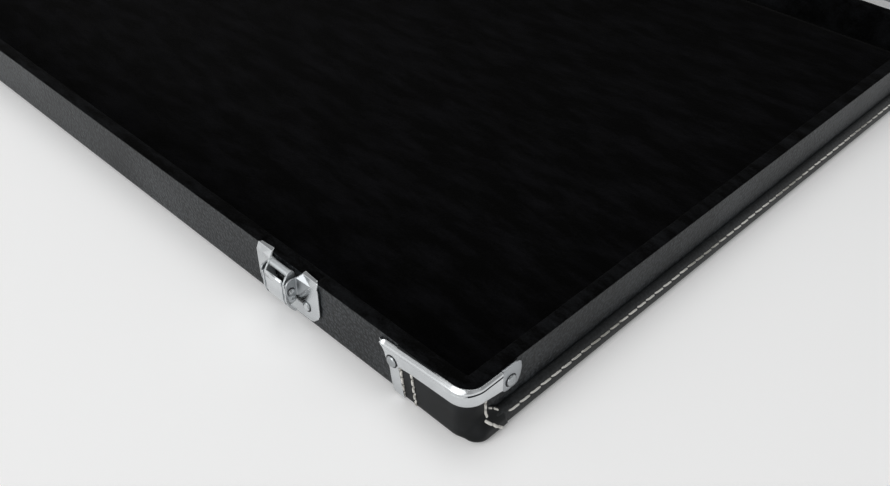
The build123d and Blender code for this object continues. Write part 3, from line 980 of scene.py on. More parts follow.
# ---- leather corners and bound edges --------------------------------------------------
@dataclass
class LeatherCorner:
    """A corner cap pulled over the end of the binding strip, with its stitching.

    Places are for the front right corner: back and left from the case's corner, up from the
    shell's outside face. All sizes are in mm.

    Attributes:
        shell: the tray or the lid.
        front_reach: how far the cap runs along the front.
        side_reach: how far it runs along the end wall above the strip.
        strip_out: how far the strip stands out.
        strip_top: the strip's height.
        low: height of the cap's lower edge.
        boot_round: radius of the boot's lower edge, over the strip.
        boot_fade: how far below and above its top the boot falls back to the wall.
        boot_start: where back from the corner the boot begins, and where it is full.
        boot_turn: angles round the corner over which the boot swells, in degrees.
        top_turn: angles over which its top rises to the strip's, in degrees.
        foot_reach: how much further the cap runs along the strip, in two steps down.
        steps: the cap's cells along the front, round the corner and along the end wall.
        front_rows: how far left of the case's corner each front row starts, and ends.
        row_top: where they start, below the vinyl's edge.
        row_steps: points along a stitch row, on the front and on the end wall.
    """

    shell: Shell
    front_reach: float = 41.0
    side_reach: float = 12.0
    strip_out: float = 4.5
    strip_top: float = 10.5
    low: float = 0.6
    boot_round: float = 2.6
    boot_fade: Pair = (4.6, 2.8)
    boot_start: Pair = (4.0, 8.0)
    boot_turn: Pair = (18, 86)
    top_turn: Pair = (25, 92)
    foot_reach: Pair = (6.5, 1.5)
    steps: tuple[int, int, int] = (14, 16, 14)
    front_rows: tuple[Pair, ...] = ((39.4, 36.9), (32.4, 29.6))
    row_top: float = 10.0
    row_steps: tuple[int, int] = (16, 12)

    def wall_out(self, up: float) -> float:
        """Finds how far the cap stands out over a plain wall.

        Args:
            up: the height in mm.

        Returns:
            The distance from the vinyl in mm.
        """
        centre, radius = CASE.edge, CASE.edge + CASE.leather
        if up >= centre:
            return CASE.leather
        return -centre + math.sqrt(max(0.0, radius ** 2 - (centre - up) ** 2))

    def boot_out(self, up: float, top: float) -> float:
        """Finds how far the cap stands out over the end of the strip.

        Args:
            up: the height in mm.
            top: height of the boot's top there.

        Returns:
            The distance from the vinyl in mm.
        """
        full, r = self.strip_out + CASE.leather, self.boot_round
        below, above = self.boot_fade
        rise = 1 - smooth_step(up, top - below, top + above)
        under = 0.0 if up > r else r - math.sqrt(max(0.0, r ** 2 - (r - up) ** 2))
        return CASE.leather + (full - CASE.leather) * rise - under

    def out(self, back: float, up: float) -> float:
        """How far it stands out along the end wall, back from the corner."""
        share = smooth_step(back, *self.boot_start)
        return self.wall_out(up) * (1 - share) + self.boot_out(up, self.strip_top) * share

    def end(self, up: float) -> float:
        """Finds where the cap ends along the end wall.

        Args:
            up: the height in mm.

        Returns:
            The distance back from the corner in mm.
        """
        slant, toe = self.foot_reach
        slant *= smooth_step(self.strip_top + 5.0 - up, 0.0, 6.0)
        return self.side_reach + slant + toe * smooth_step(self.strip_top - 3 - up, 0, 7)

    def front_point(self, left: float, up: float) -> Vector:
        """A point of the cap on the front wall."""
        return Vector((CASE.half_length - left, -CASE.half_depth - self.wall_out(up), up))

    def side_point(self, back: float, up: float) -> Vector:
        """A point of the cap on the end wall."""
        return Vector((CASE.half_length + self.out(back, up), -CASE.half_depth + back, up))

    def turn_point(self, angle: float, up: float) -> Vector:
        """Finds a point on the upright corner.

        Args:
            angle: from 0 at the front to 90 degrees at the end wall.
            up: the height in mm.

        Returns:
            The point in mm.
        """
        turn = math.radians(angle)
        x, y = CASE.half_length - CASE.corner, -CASE.half_depth + CASE.corner
        share = smooth_step(angle, *self.boot_turn)
        top = 1.0 + (self.strip_top - 1.0) * smooth_step(angle, *self.top_turn)
        radius = CASE.corner + self.wall_out(up) * (1 - share) + self.boot_out(up, top) * share
        return Vector((x + radius * math.sin(turn), y - radius * math.cos(turn), up))

    def heights(self) -> list[float]:
        """The grid's heights, closer together where the surface bends."""
        top = self.shell.vinyl_top - 0.1
        upper = [top - (top - 16.0) * k / 6 for k in range(7)]
        return upper + [15.0 - k for k in range(12)] + [3.2, 2.4, 1.7, 1.1, self.low]

    def cap(self, corner: Corner) -> bpy.types.Object:
        """Builds the leather of one corner.

        Args:
            corner: which corner.

        Returns:
            The piece.
        """
        start = CASE.corner
        front, turn, side = self.steps
        grid = []
        for up in self.heights():
            row = [self.front_point(start + (self.front_reach - start) * (1 - k / front), up)
                   for k in range(front)]
            row += [self.turn_point(90 * k / turn, up) for k in range(turn)]
            row += [self.side_point(start + (self.end(up) - start) * k / side, up)
                    for k in range(side + 1)]
            grid.append(row)
        faces = turned(grid_faces(len(grid), len(grid[0])))
        piece = make_piece(self.shell, f"leather_cap_{corner.name.lower()}", grid, faces,
                           Surface.CAP_LEATHER, corner.value)
        thick = piece.modifiers.new("thickness", "SOLIDIFY")
        thick.thickness = (CASE.leather - 0.05) * MM
        thick.offset = -1.0
        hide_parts(f"{self.shell.prefix}_leather_caps")
        return piece

    def front_row(self, left: float, left_low: float) -> StitchRow:
        """Lays a stitch row down the front, under the guard's arm to the underside's edge.

        Args:
            left: where it starts, left from the case's corner, in mm.
            left_low: where it ends.

        Returns:
            The row.
        """
        start, end = self.shell.vinyl_top - self.row_top, self.low + 0.3
        steps = self.row_steps[0]
        route = []
        for t in (k / steps for k in range(steps + 1)):
            up = start + (end - start) * t
            out = Vector((0, -1, -0.8 * smooth_step(3.5 - up, 0, 3))).normalized()
            route.append((self.front_point(left + (left_low - left) * t, up), out))
        return StitchRow(route, stitch=4.4, gap=0.0, thick=1.3, slant=0.3)

    def side_row(self, start: Pair, end: Pair, stitch: float, thick: float,
                 gap: float) -> StitchRow:
        """Lays a stitch row on the end wall.

        Args:
            start: where it starts, as (back, up) in mm.
            end: where it ends.
            stitch: length of one stitch in mm.
            thick: the thread's diameter in mm.
            gap: bare length between two stitches in mm.

        Returns:
            The row.
        """
        steps = self.row_steps[1]
        route = []
        for t in (k / steps for k in range(steps + 1)):
            back, up = start[0] + (end[0] - start[0]) * t, start[1] + (end[1] - start[1]) * t
            lean = self.side_point(back, up + 0.4) - self.side_point(back, up - 0.4)
            out = Vector((0, 1, 0)).cross(lean).normalized()
            route.append((self.side_point(back, up), out if out.x > 0 else -out))
        return StitchRow(route, stitch=stitch, gap=gap, thick=thick, slant=0.2)

    def rows(self) -> list[StitchRow]:
        """Lays all the stitch rows of one corner.

        Returns:
            Two rows on the front, one down the end wall, and two over the boot.
        """
        under_rim = self.shell.vinyl_top - 7.5
        return [self.front_row(*ends) for ends in self.front_rows] + [
            self.side_row((9.6, under_rim), (10.0, 10.6), 5.0, 1.3, 0.0),
            self.side_row((11.5, 14.4), (17.0, 10.2), 2.6, 0.95, 0.8),
            self.side_row((8.0, 10.4), (16.6, 1.6), 4.6, 1.5, 0.0),
        ]

    def stitching(self, corner: Corner) -> bpy.types.Object:
        """Builds the thread of one corner.

        Args:
            corner: which corner.

        Returns:
            The piece.
        """
        grid, faces = [], []
        for row in self.rows():
            rings, row_faces = row.mesh()
            faces += shifted(row_faces, len(grid) * row.sides)
            grid += rings
        piece = make_piece(self.shell, f"corner_stitching_{corner.name.lower()}", grid, faces,
                           Surface.THREAD, corner.value)
        return piece

    def build(self) -> list[bpy.types.Object]:
        """Caps and thread at all four corners."""
        return [make(corner) for corner in Corner for make in (self.cap, self.stitching)]


@dataclass
class BoundEdge:
    """The padded binding strip along an end wall, with its stitch line; all sizes in mm.

    Attributes:
        shell: the tray or the lid.
        out: how far it stands out.
        top: its height.
        start: where its rounded end begins, back from the case's corner.
        seam: height of the stitch line.
        seam_start: where the stitch line begins, back from the case's corner.
        groove: how deep the stitches pull the strip in.
        step: spacing of its sections.
        rounds: radius of its upper and of its lower edge.
        seam_points: lengths that the stitch line's route is drawn in.
    """

    shell: Shell
    out: float = 4.5
    top: float = 10.5
    start: float = 8.7
    seam: float = 7.2
    seam_start: float = 21.0
    groove: float = 0.3
    step: float = 3.0
    rounds: Pair = (3.9, 2.4)
    seam_points: int = 110

    def section(self) -> list[Pair]:
        """Draws the strip's section, from the wall over the top and back under.

        Returns:
            Its points as (out, up), in mm.
        """
        top_r, low_r = self.rounds
        points = [(-0.2, self.top - 0.25), (0.35, self.top)]
        for angle in (math.radians(90 - 90 * k / 6) for k in range(7)):
            points.append((self.out - top_r + top_r * math.cos(angle),
                           self.top - top_r + top_r * math.sin(angle)))
        points += [(self.out, 5.6), (self.out, 4.6), (self.out, 3.4)]
        for angle in (math.radians(-90 * k / 5) for k in range(6)):
            points.append((self.out - low_r + low_r * math.cos(angle),
                           low_r + low_r * math.sin(angle)))
        return points + [(-1.4, 0.02), (-1.2, 0.5), (-0.35, 1.6), (0.02, 3.2)]

    def point(self, y: float, out: float, up: float) -> Vector:
        """Finds a point of the strip, pulled in at the stitches and slightly uneven.

        Args:
            y: the place along the strip, in mm.
            out: how far out in its section.
            up: the height in its section.

        Returns:
            The point in mm.
        """
        pull = self.groove * math.exp(-((up - self.seam) / 0.9) ** 2) if out > 1 else 0.0
        wander = 0.12 * noise.noise(Vector((y / 16, up / 8, 3.0))) if out > 1 else 0.0
        return Vector((CASE.half_length + out - pull + wander, y, up))

    def strip(self, left: bool) -> bpy.types.Object:
        """Builds the strip of one end wall.

        Args:
            left: whether it is the left one.

        Returns:
            The piece.
        """
        half = CASE.half_depth - self.start
        count = int(2 * half / self.step)
        section = self.section()
        grid = []
        for k in range(count + 1):
            y = -half + 2 * half * k / count
            shrink = smooth_step(min(k, count - k), -1, 2)
            grid.append([self.point(y, out * shrink if out > 0 else out, up)
                         for out, up in section])
        wide, last = len(section), count * len(section)
        faces = turned(grid_faces(len(grid), wide, ring_columns=True))
        faces += [tuple(reversed(range(wide))), tuple(last + k for k in range(wide))]
        name = "left" if left else "right"
        piece = make_piece(self.shell, f"bound_edge_{name}", grid, faces, Surface.STRIP_VINYL,
                           (left, False))
        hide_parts("lid_strips" if self.shell.is_lid else f"tray_strip_{name}")
        return piece

    def stitch_line(self, left: bool) -> bpy.types.Object:
        """Builds the long stitch line of one strip.

        Args:
            left: whether it is the left one.

        Returns:
            The piece.
        """
        half = CASE.half_depth - self.seam_start
        out = Vector((1, 0, 0.35)).normalized()
        places = [-half + 2 * half * k / self.seam_points for k in range(self.seam_points + 1)]
        route = [(self.point(y, self.out, self.seam), out) for y in places]
        rings, faces = StitchRow(route, stitch=7.0, gap=0.05, thick=1.15, slant=0.42).mesh()
        name = "left" if left else "right"
        piece = make_piece(self.shell, f"edge_stitching_{name}", rings, faces, Surface.THREAD,
                           (left, False))
        return piece

    def build(self) -> list[bpy.types.Object]:
        """Both strips and their thread."""
        return [make(left) for left in (False, True) for make in (self.strip, self.stitch_line)]


# ---- pressed metal --------------------------------------------------------------------
@contextmanager
def open_mesh(piece: bpy.types.Object) -> Iterator[bmesh.types.BMesh]:
    """Opens a piece's mesh for editing and writes it back.

    Args:
        piece: the piece.

    Returns:
        The mesh while it is open.
    """
    shape = bmesh.new()
    shape.from_mesh(piece.data)
    yield shape
    shape.to_mesh(piece.data)
    shape.free()


def join_points(shape: bmesh.types.BMesh) -> None:
    """Joins points that lie on each other."""
    bmesh.ops.remove_doubles(shape, verts=shape.verts, dist=0.01 * MM)


def as_sheet(piece: bpy.types.Object, thick: float, edge: float) -> None:
    """Joins a skin's meeting points and makes it sheet metal with eased edges.

    Args:
        piece: the outer skin.
        thick: the sheet's thickness in mm, inwards.
        edge: radius of its eased edges in mm.
    """
    with open_mesh(piece) as shape:
        join_points(shape)
    solid = piece.modifiers.new("thickness", "SOLIDIFY")
    solid.thickness = thick * MM
    solid.offset = -1.0
    solid.use_even_offset = True
    eased = piece.modifiers.new("eased edges", "BEVEL")
    eased.width = edge * MM
    eased.segments = 2
    eased.limit_method = "ANGLE"
    eased.angle_limit = math.radians(38)


@dataclass(frozen=True)
class RivetHead:
    """A low domed rivet head with a thin flat ring round it, coloured dark as painted shade.

    Attributes:
        radius: the head's radius in mm.
        height: how far the dome stands out.
        gap: width of the ring round it that carries the painted shade.
        sides: points round it.
        painted_shade_rings: how many of its rings belong to the painted shade ring.
    """

    radius: float
    height: float
    gap: float = 0.55
    sides: int = 28
    painted_shade_rings: int = 3

    def rings(self) -> list[list[Point]]:
        """Draws the head from the recess's rim to the dome's crown.

        Returns:
            Rings of (right, up, out) points in mm.
        """
        r, h = self.radius, self.height
        profile = [
            (r + self.gap, -0.05), (r + self.gap, 0.09), (r + 0.1, 0.1), (r, h * 0.3),
            (r * 0.93, h * 0.62), (r * 0.8, h * 0.84), (r * 0.55, h * 0.95), (r * 0.25, h),
            (0.02, h),
        ]
        turns = [2 * math.pi * k / self.sides for k in range(self.sides)]
        return [[(reach * math.cos(a), reach * math.sin(a), out) for a in turns]
                for reach, out in profile]

    def faces(self) -> list[Face]:
        """The faces between its rings."""
        return turned(grid_faces(len(self.rings()), self.sides, ring_columns=True))

    def darken_recess(self, piece: bpy.types.Object) -> None:
        """Paints shade on the ring round the dome with the dark plating.

        Args:
            piece: the rivet head's object.
        """
        # painted shade: the ring's faces round the dome get the dark plating
        piece.data.materials.append(Surface.RECESS.material())
        for face in piece.data.polygons:
            face.material_index = int(face.index < self.painted_shade_rings * self.sides)


@dataclass(frozen=True)
class CornerGuard:
    """The pressed and plated guard of one corner: two arms, a riveted tab and a riveted leg.

    Distances along it run from the case's corner: below zero along the front, above along the
    end wall. Heights run from the vinyl's edge. All sizes are in mm.

    Attributes:
        shell: the tray or the lid.
        raised: how far the arms stand out from the vinyl.
        flat: how far the tab and the leg stand out.
        sheet: the metal's thickness.
        eased: radius of its eased edges.
        band_in: how far the sloped band along the top leans in.
        band_drop: how far the band drops from the top edge to the ridge.
        band_shares: places down the band at which it is drawn.
        groove: depth of the pressed line under the ridge of the side arm.
        line: the pressed line as (height below the ridge, share of its depth).
        line_foot: where the flat face starts below the ridge.
        face_shares: places down the flat face at which it is drawn.
        step: where the side arm steps down to its flat tab.
        step_width: width of that step.
        step_depth: how far its bottom lies under the tab's face.
        top_edge: the top edge as (distance along, height).
        low_edge: the lower edge as (distance along, height).
        leg: the leg's left and right edges where it leaves the arm.
        leg_top: height at which it leaves the arm.
        leg_fade: where along the front the arm rises from the leg's level to its own.
        leg_reach: depth of the tallest leg's foot below the vinyl's edge.
        foot_gap: how far a shorter shell's leg stops above its outside face.
        leg_left: the leg's left edge as (distance down, distance along).
        leg_right: its right edge.
        leg_cells: cells down the leg and across it.
        head: the rivets' heads.
        rivet_places: each rivet as (name, distance along, height).
    """

    shell: Shell
    raised: float = 2.5
    flat: float = 1.8
    sheet: float = 0.85
    eased: float = 0.2
    band_in: float = 2.0
    band_drop: float = 1.9
    band_shares: tuple[float, ...] = (0.0, 0.3, 0.65, 0.9)
    groove: float = 0.8
    line: tuple[Pair, ...] = (
        (0.3, 0.0), (0.62, 0.04), (0.72, 0.96), (1.45, 1.0), (1.55, 0.04), (1.85, 0.0),
    )
    line_foot: float = 1.9
    face_shares: tuple[float, ...] = (0.25, 0.5, 0.75, 0.93, 1.0)
    step: float = 18.8
    step_width: float = 0.5
    step_depth: float = 0.7
    top_edge: tuple[Pair, ...] = (
        (-50.8, -3.4), (-50.2, -2.3), (-48.5, -1.9), (-12, 0.35), (-8, 0.5), (27.6, 0.5),
        (29.4, 0.1), (30.4, -0.9), (30.9, -2.6), (31.0, -4.0),
    )
    low_edge: tuple[Pair, ...] = (
        (-50.8, -3.8), (-50.2, -4.4), (-48.8, -5.6), (-47.6, -7.6), (-47.0, -10.5),
        (-46.0, -13.0), (-39.6, -13.0), (-39.0, -11.4), (-38.0, -10.5), (-31, -9.6), (-20, -9.0),
        (-8, -8.4), (8, -8.4), (18.6, -10.2), (19.4, -11.4), (20.6, -12.8), (22.4, -13.3),
        (27.6, -13.0), (29.4, -12.0), (30.4, -9.0), (31.0, -5.0),
    )
    leg: Pair = (-46.0, -39.6)
    leg_top: float = -13.0
    leg_fade: Pair = (-39.4, -36.0)
    leg_reach: float = 31.3
    foot_gap: float = 0.8
    leg_left: tuple[Pair, ...] = (
        (0.0, -46.0), (2.6, -45.4), (11.0, -44.2), (15.0, -42.9), (18.3, -40.6),
    )
    leg_right: tuple[Pair, ...] = (
        (0.0, -39.6), (2.0, -39.2), (11.0, -37.4), (15.4, -36.5), (18.3, -36.9),
    )
    leg_cells: tuple[int, int] = (16, 8)
    head: RivetHead = RivetHead(2.8, 1.05)
    rivet_places: tuple[tuple[str, float, float], ...] = (
        ("front", -43.0, -10.0), ("side", 24.3, -8.0),
    )

    def columns(self) -> list[float]:
        """Lists where along the guard its section is drawn, closer where an edge bends.

        Returns:
            Distances along the guard in mm.
        """
        left, right = self.leg
        tip = [-50.8, -50.5, -50.2, -49.4, -48.8, -48.1, -47.6, -47.3, -47.0, -46.5]
        leg = [left + (right - left) * k / 8 for k in range(9)]
        front = [-39.3, -39.0, -38.5, -38.0, -37.0] + [-36.0 + 2.0 * k for k in range(14)]
        turn = [-8.0 + k for k in range(17)]
        side = [9.5, 11.0, 12.5, 14.0, 15.5, 17.0, 18.2, self.step, 19.2, 19.6]
        return tip + leg + front + turn + side + [20.2 + 0.6 * k for k in range(18)] + [31.0]

    def proud(self, along: float, up: float) -> float:
        """Finds how far the skin stands out from the vinyl.

        Args:
            along: the distance along the guard, in mm.
            up: the height from the vinyl's edge.

        Returns:
            The distance out in mm.
        """
        if along > self.step:
            in_step = along < self.step + self.step_width
            return self.flat - (self.step_depth if in_step else 0.0)
        to_leg = smooth_step(self.leg_top - up, -4.0, 1.0)
        to_leg *= 1 - smooth_step(along, *self.leg_fade)
        return self.raised + (self.flat - self.raised) * to_leg

    def place(self, along: float, out: float, up: float) -> Vector:
        """Turns the guard's own distances into the shell's millimetres.

        Args:
            along: the distance along the guard.
            out: how far out from the vinyl.
            up: the height from the vinyl's edge.

        Returns:
            The point in mm.
        """
        corner, radius = CASE.corner, CASE.corner + out
        z = self.shell.vinyl_top + up
        if along <= -corner:
            return Vector((CASE.half_length + along, -CASE.half_depth - out, z))
        if along >= corner:
            return Vector((CASE.half_length + out, -CASE.half_depth + along, z))
        turn = math.radians(45 * (along / corner + 1))
        x, y = CASE.half_length - corner, -CASE.half_depth + corner
        return Vector((x + radius * math.sin(turn), y - radius * math.cos(turn), z))

    def section(self, along: float) -> list[Pair]:
        """Draws the skin's section from its top edge to its lower edge.

        Args:
            along: where along the guard, in mm.

        Returns:
            Its (out, up) points.
        """
        top, low = between(along, self.top_edge), between(along, self.low_edge)
        on_arm = 1.0 if along <= self.step else 0.0
        room = min(1.0, (top - low) / 4.0)
        to_side = smooth_step(along, -4.0, 6.0)
        lean = self.band_in * on_arm * room * (1 - 0.3 * to_side)
        drop = self.band_drop * room * (1 - 0.5 * to_side)
        pressed = self.groove * (0.12 + 0.88 * smooth_step(along, -2.0, 1.0)) * on_arm
        points = [(self.proud(along, top) - lean * (1 - share), top - drop * share)
                  for share in self.band_shares]
        ridge = top - drop
        for below, depth in self.line:
            up = max(ridge - below * room, low + 0.2)
            points.append((self.proud(along, up) - pressed * depth, up))
        foot = ridge - self.line_foot * room
        for share in self.face_shares:
            up = foot + (low - foot) * share
            points.append((self.proud(along, up) - (0.12 if share == 1.0 else 0.0), up))
        return points

    def leg_rows(self) -> Grid:
        """Draws the leg's skin, from the arm down round the underside's edge.

        Returns:
            Its rows of points in mm.
        """
        length = min(self.shell.vinyl_top - self.foot_gap, self.leg_reach) + self.leg_top
        caps = LeatherCorner(self.shell)
        steps, wide = self.leg_cells
        rows = []
        for k in range(steps + 1):
            down = length * k / steps
            up = self.leg_top - down
            cap_out = caps.wall_out(self.shell.vinyl_top + up) + self.flat - CASE.leather
            share = smooth_step(down, 0.0, 2.5)
            out = self.proud(self.leg[1], up) * (1 - share) + cap_out * share
            if k == 0:
                out = self.section(self.leg[0])[-1][0]
            start, end = between(down, self.leg_left), between(down, self.leg_right)
            rows.append([self.place(start + (end - start) * j / wide, out, up)
                         for j in range(wide + 1)])
        return rows

    def guard(self, corner: Corner) -> bpy.types.Object:
        """Builds the guard of one corner.

        Args:
            corner: which corner.

        Returns:
            The piece.
        """
        columns = self.columns()
        sections = [self.section(along) for along in columns]
        grid = [[self.place(along, *point) for along, point in zip(columns, row)]
                for row in zip(*sections)]
        leg = self.leg_rows()
        faces = grid_faces(len(grid), len(columns))
        faces += shifted(grid_faces(len(leg), len(leg[0])), len(grid) * len(columns))
        piece = make_piece(self.shell, f"corner_guard_{corner.name.lower()}", grid + leg,
                           turned(faces), Surface.PLATING, corner.value)
        self.paint_groove_shade_and_grey_tab(piece, len(grid), columns)
        as_sheet(piece, self.sheet, self.eased)
        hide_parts("lid_chrome_corners" if self.shell.is_lid else self.tray_node(corner))
        return piece

    def paint_groove_shade_and_grey_tab(self, piece: bpy.types.Object, rows: int, columns: list[float]) -> None:
        """Paints shade into the bottom of the pressed line and into the step with the dark plating,
        and gives the tab the grey plating.

        Args:
            piece: the guard's object.
            rows: how many points a section has.
            columns: where its sections stand.
        """
        for surface in (Surface.RECESS, Surface.GREY_PLATING_PAINTED_SHADE):
            piece.data.materials.append(surface.material())
        recess, unbuffed = 1, 2
        wide = len(columns) - 1
        deep = next(k for k, (_, depth) in enumerate(self.line) if depth > 0.9)
        lowest = len(self.band_shares) + deep
        for row in range(rows - 1):
            for k, along in enumerate(columns[:-1]):
                in_line = abs(row - lowest) <= 1 and -1.0 < along < self.step - 0.1
                at_step = self.step - 0.1 < along < self.step + 0.3
                # painted shade: the bottom of the pressed line and the step get the dark plating;
                # the tab gets the grey plating
                if in_line or at_step:
                    piece.data.polygons[row * wide + k].material_index = recess
                elif along > self.step:
                    piece.data.polygons[row * wide + k].material_index = unbuffed

    def rivets(self, corner: Corner) -> list[bpy.types.Object]:
        """Builds the low rivet heads on the front arm and on the tab.

        Args:
            corner: which corner.

        Returns:
            The two heads.
        """
        above = Vector((0, 0, 1))
        heads = []
        for end, along, up in self.rivet_places:
            out = self.raised if end == "front" else self.flat
            centre = self.place(along, out, up)
            right = self.place(along + 1, out, up) - centre
            outward = right.cross(above)
            grid = [[centre + right * x + above * z + outward * o for x, z, o in ring]
                    for ring in self.head.rings()]
            piece = make_piece(self.shell, f"rivet_head_{end}_{corner.name.lower()}", grid,
                               self.head.faces(), Surface.RIVET_PLATING, corner.value)
            self.head.darken_recess(piece)
            heads.append(piece)
        return heads

    def tray_node(self, corner: Corner) -> str:
        """The CAD node that a tray's guard stands for."""
        return f"tray_chrome_{corner.name.lower()}"

    def build(self) -> list[bpy.types.Object]:
        """All four guards and their rivets."""
        return [piece for corner in Corner for piece in (self.guard(corner), *self.rivets(corner))]


@dataclass(frozen=True)
class LatchPlate:
    """A latch's pressed plate: two wings, two sloped top flanges and two ears for the lever.

    Places are across from the latch's middle, out from the wall and up from the vinyl's edge,
    in mm.

    Attributes:
        middle: the latch's place along the front wall.
        side: its name.
        sheet: the metal's thickness.
        eased: radius of its eased edges.
        wing_out: how far a wing stands out.
        ear_across: how far the ears stand each side of the middle.
        rivet: the head of the rivet in each wing.
        rivet_at: where it stands, as (across, up).
        pin: the head of the lever's pin on each ear.
        pin_at: where it stands, as (out, up).
        skin: the facets of the right half in the bright plating.
        painted_shade_facets: the facets in the corners of the pressing, the ear last; both ears and
            the right half's gusset facets get the grey plating as painted shade.
        fold: the section of the hem along the lever's top edge, as (out, up).
        fold_middle: the point that the hem's ends shrink towards.
        fold_ends: where its sections stand, as (across, share of their size).
    """

    middle: float
    side: str
    sheet: float = 0.95
    eased: float = 0.28
    wing_out: float = 1.4
    ear_across: float = 9.8
    rivet: RivetHead = RivetHead(2.35, 1.1, 0.75)
    rivet_at: Pair = (13.6, -17.9)
    pin: RivetHead = RivetHead(1.55, 0.8, 0.6)
    pin_at: Pair = (6.5, -7.8)
    skin: tuple[tuple[Point, ...], ...] = (
        # the wing and the foot
        ((0, 1.4, -14), (0, 1.4, -26), (15.5, 1.4, -26), (18.2, 1.4, -25.0), (21.6, 1.4, -21.6),
         (22.9, 1.4, -18.8), (23.0, 1.4, -3.6), (22.4, 1.4, -2.4), (17.8, 1.4, -3.6),
         (9.8, 1.4, -12.9), (8.8, 1.4, -14)),
        # the top flange: its sloped front and its top
        ((22.4, 1.4, -2.4), (22.3, 0.2, 0.4), (17.8, 1.4, -3.6)),
        ((22.3, 0.2, 0.4), (11.4, 0.2, 0.4), (17.8, 1.4, -3.6)),
        ((22.3, 0.2, 0.4), (20.9, -1.0, 1.05), (11.8, -1.6, 1.25)),
        ((22.3, 0.2, 0.4), (11.8, -1.6, 1.25), (11.4, 0.2, 0.4)),
    )
    painted_shade_facets: tuple[tuple[Point, ...], ...] = (
        # the gusset beside the ear, and its lower corner
        ((9.8, 3.1, -1.6), (17.8, 1.4, -3.6), (11.4, 0.2, 0.4)),
        ((9.8, 3.1, -1.6), (9.8, 3.4, -12.0), (17.8, 1.4, -3.6)),
        ((9.8, 3.4, -12.0), (9.8, 1.4, -12.9), (17.8, 1.4, -3.6)),
        # the ear
        ((9.8, 3.1, -1.6), (9.8, 5.6, -1.3), (9.8, 7.9, -2.0), (9.8, 9.0, -3.6), (9.8, 9.1, -8.6),
         (9.8, 8.5, -10.6), (9.8, 3.4, -12.0)),
    )
    fold: tuple[Pair, ...] = (
        (8.9, -5.9), (9.3, -5.75), (9.42, -5.4), (9.45, -3.5), (9.3, -2.95), (8.95, -2.68),
        (8.5, -2.62), (8.1, -2.75), (7.85, -3.1), (7.8, -3.9), (8.3, -4.2),
    )
    fold_middle: Pair = (8.6, -4.1)
    fold_ends: tuple[Pair, ...] = (
        (-6.15, 0.6), (-6.05, 0.85), (-5.8, 1.0), (5.8, 1.0), (6.05, 0.85), (6.15, 0.6),
    )

    def place(self, across: float, out: float, up: float) -> Vector:
        """From the latch's own distances to metres."""
        return Vector((self.middle + across, -CASE.half_depth - out, TRAY.vinyl_top + up)) * MM

    def dress(self, name: str, points: Sequence[Vector], faces: list[Face],
              body: str) -> bpy.types.Object:
        """Makes one plated piece of the latch.

        Args:
            name: the piece's name.
            points: its points in metres.
            faces: its faces.
            body: the body that it rides on.

        Returns:
            The piece.
        """
        piece = mesh_object(name, points, faces, Surface.PLATING)
        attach(piece, body)
        return piece

    def plate(self) -> bpy.types.Object:
        """Builds the plate, bright on its flat faces, with painted shade in the grey plating on the
        right half's gusset facets and on both ears.

        Returns:
            The piece.
        """
        points, faces, dull = [], [], []
        for sign in (1, -1):
            for polygon in self.skin + self.painted_shade_facets:
                first = len(points)
                points += [self.place(sign * u, v, w) for u, v, w in polygon]
                ring = tuple(range(first, len(points)))
                faces.append(tuple(reversed(ring)) if sign == 1 else ring)
                # painted shade: the gusset facets of the right half and both ears get the grey
                # plating
                seen = sign == 1 or polygon is self.painted_shade_facets[-1]
                dull.append(polygon in self.painted_shade_facets and seen)
        piece = self.dress(f"latch_sheet_{self.side}", points, faces, "tray")
        piece.data.materials.append(Surface.GREY_PLATING_PAINTED_SHADE.material())
        for face, is_painted_shade in zip(piece.data.polygons, dull):
            face.material_index = int(is_painted_shade)
        with open_mesh(piece) as shape:
            join_points(shape)
            bmesh.ops.recalc_face_normals(shape, faces=shape.faces)
            foot = min(shape.faces, key=lambda face: face.calc_center_median().z)
            if foot.normal.y > 0:
                bmesh.ops.reverse_faces(shape, faces=shape.faces)
        piece.data.shade_flat()
        as_sheet(piece, self.sheet, self.eased)
        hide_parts(f"latch_plate_{self.side}")
        return piece

    def lip(self) -> bpy.types.Object:
        """Builds the folded hem along the lever's top edge.

        Returns:
            The piece.
        """
        out, up = self.fold_middle
        grid = [[self.place(across, out + (v - out) * share, up + (w - up) * share)
                 for v, w in self.fold] for across, share in self.fold_ends]
        piece = self.dress(f"latch_lip_{self.side}", flatten(grid),
                           tube_faces(len(grid), len(self.fold)), f"lever_{self.side}")
        with open_mesh(piece) as shape:
            bmesh.ops.recalc_face_normals(shape, faces=shape.faces)
        return piece

    def heads(self, sign: int) -> list[bpy.types.Object]:
        """Builds the rivet in one wing and the pin's head on one ear.

        Args:
            sign: -1 for the left wing and 1 for the right.

        Returns:
            The two heads.
        """
        word = "left" if sign < 0 else "right"
        across, up = self.rivet_at
        wing = [[self.place(sign * across + x, self.wing_out + o, up + z) for x, z, o in ring]
                for ring in self.rivet.rings()]
        out, up = self.pin_at
        ear = [[self.place(sign * (self.ear_across + o), out - sign * x, up + z)
                for x, z, o in ring] for ring in self.pin.rings()]
        made = []
        for name, head, grid in (("rivet_head", self.rivet, wing), ("pin_head", self.pin, ear)):
            piece = self.dress(f"latch_{name}_{self.side}_{word}", flatten(grid), head.faces(),
                               "tray")
            head.darken_recess(piece)
            made.append(piece)
        return made

    def build(self) -> list[bpy.types.Object]:
        """The plate, the lever's lip and the heads."""
        return [self.plate(), self.lip(), *self.heads(-1), *self.heads(1)]


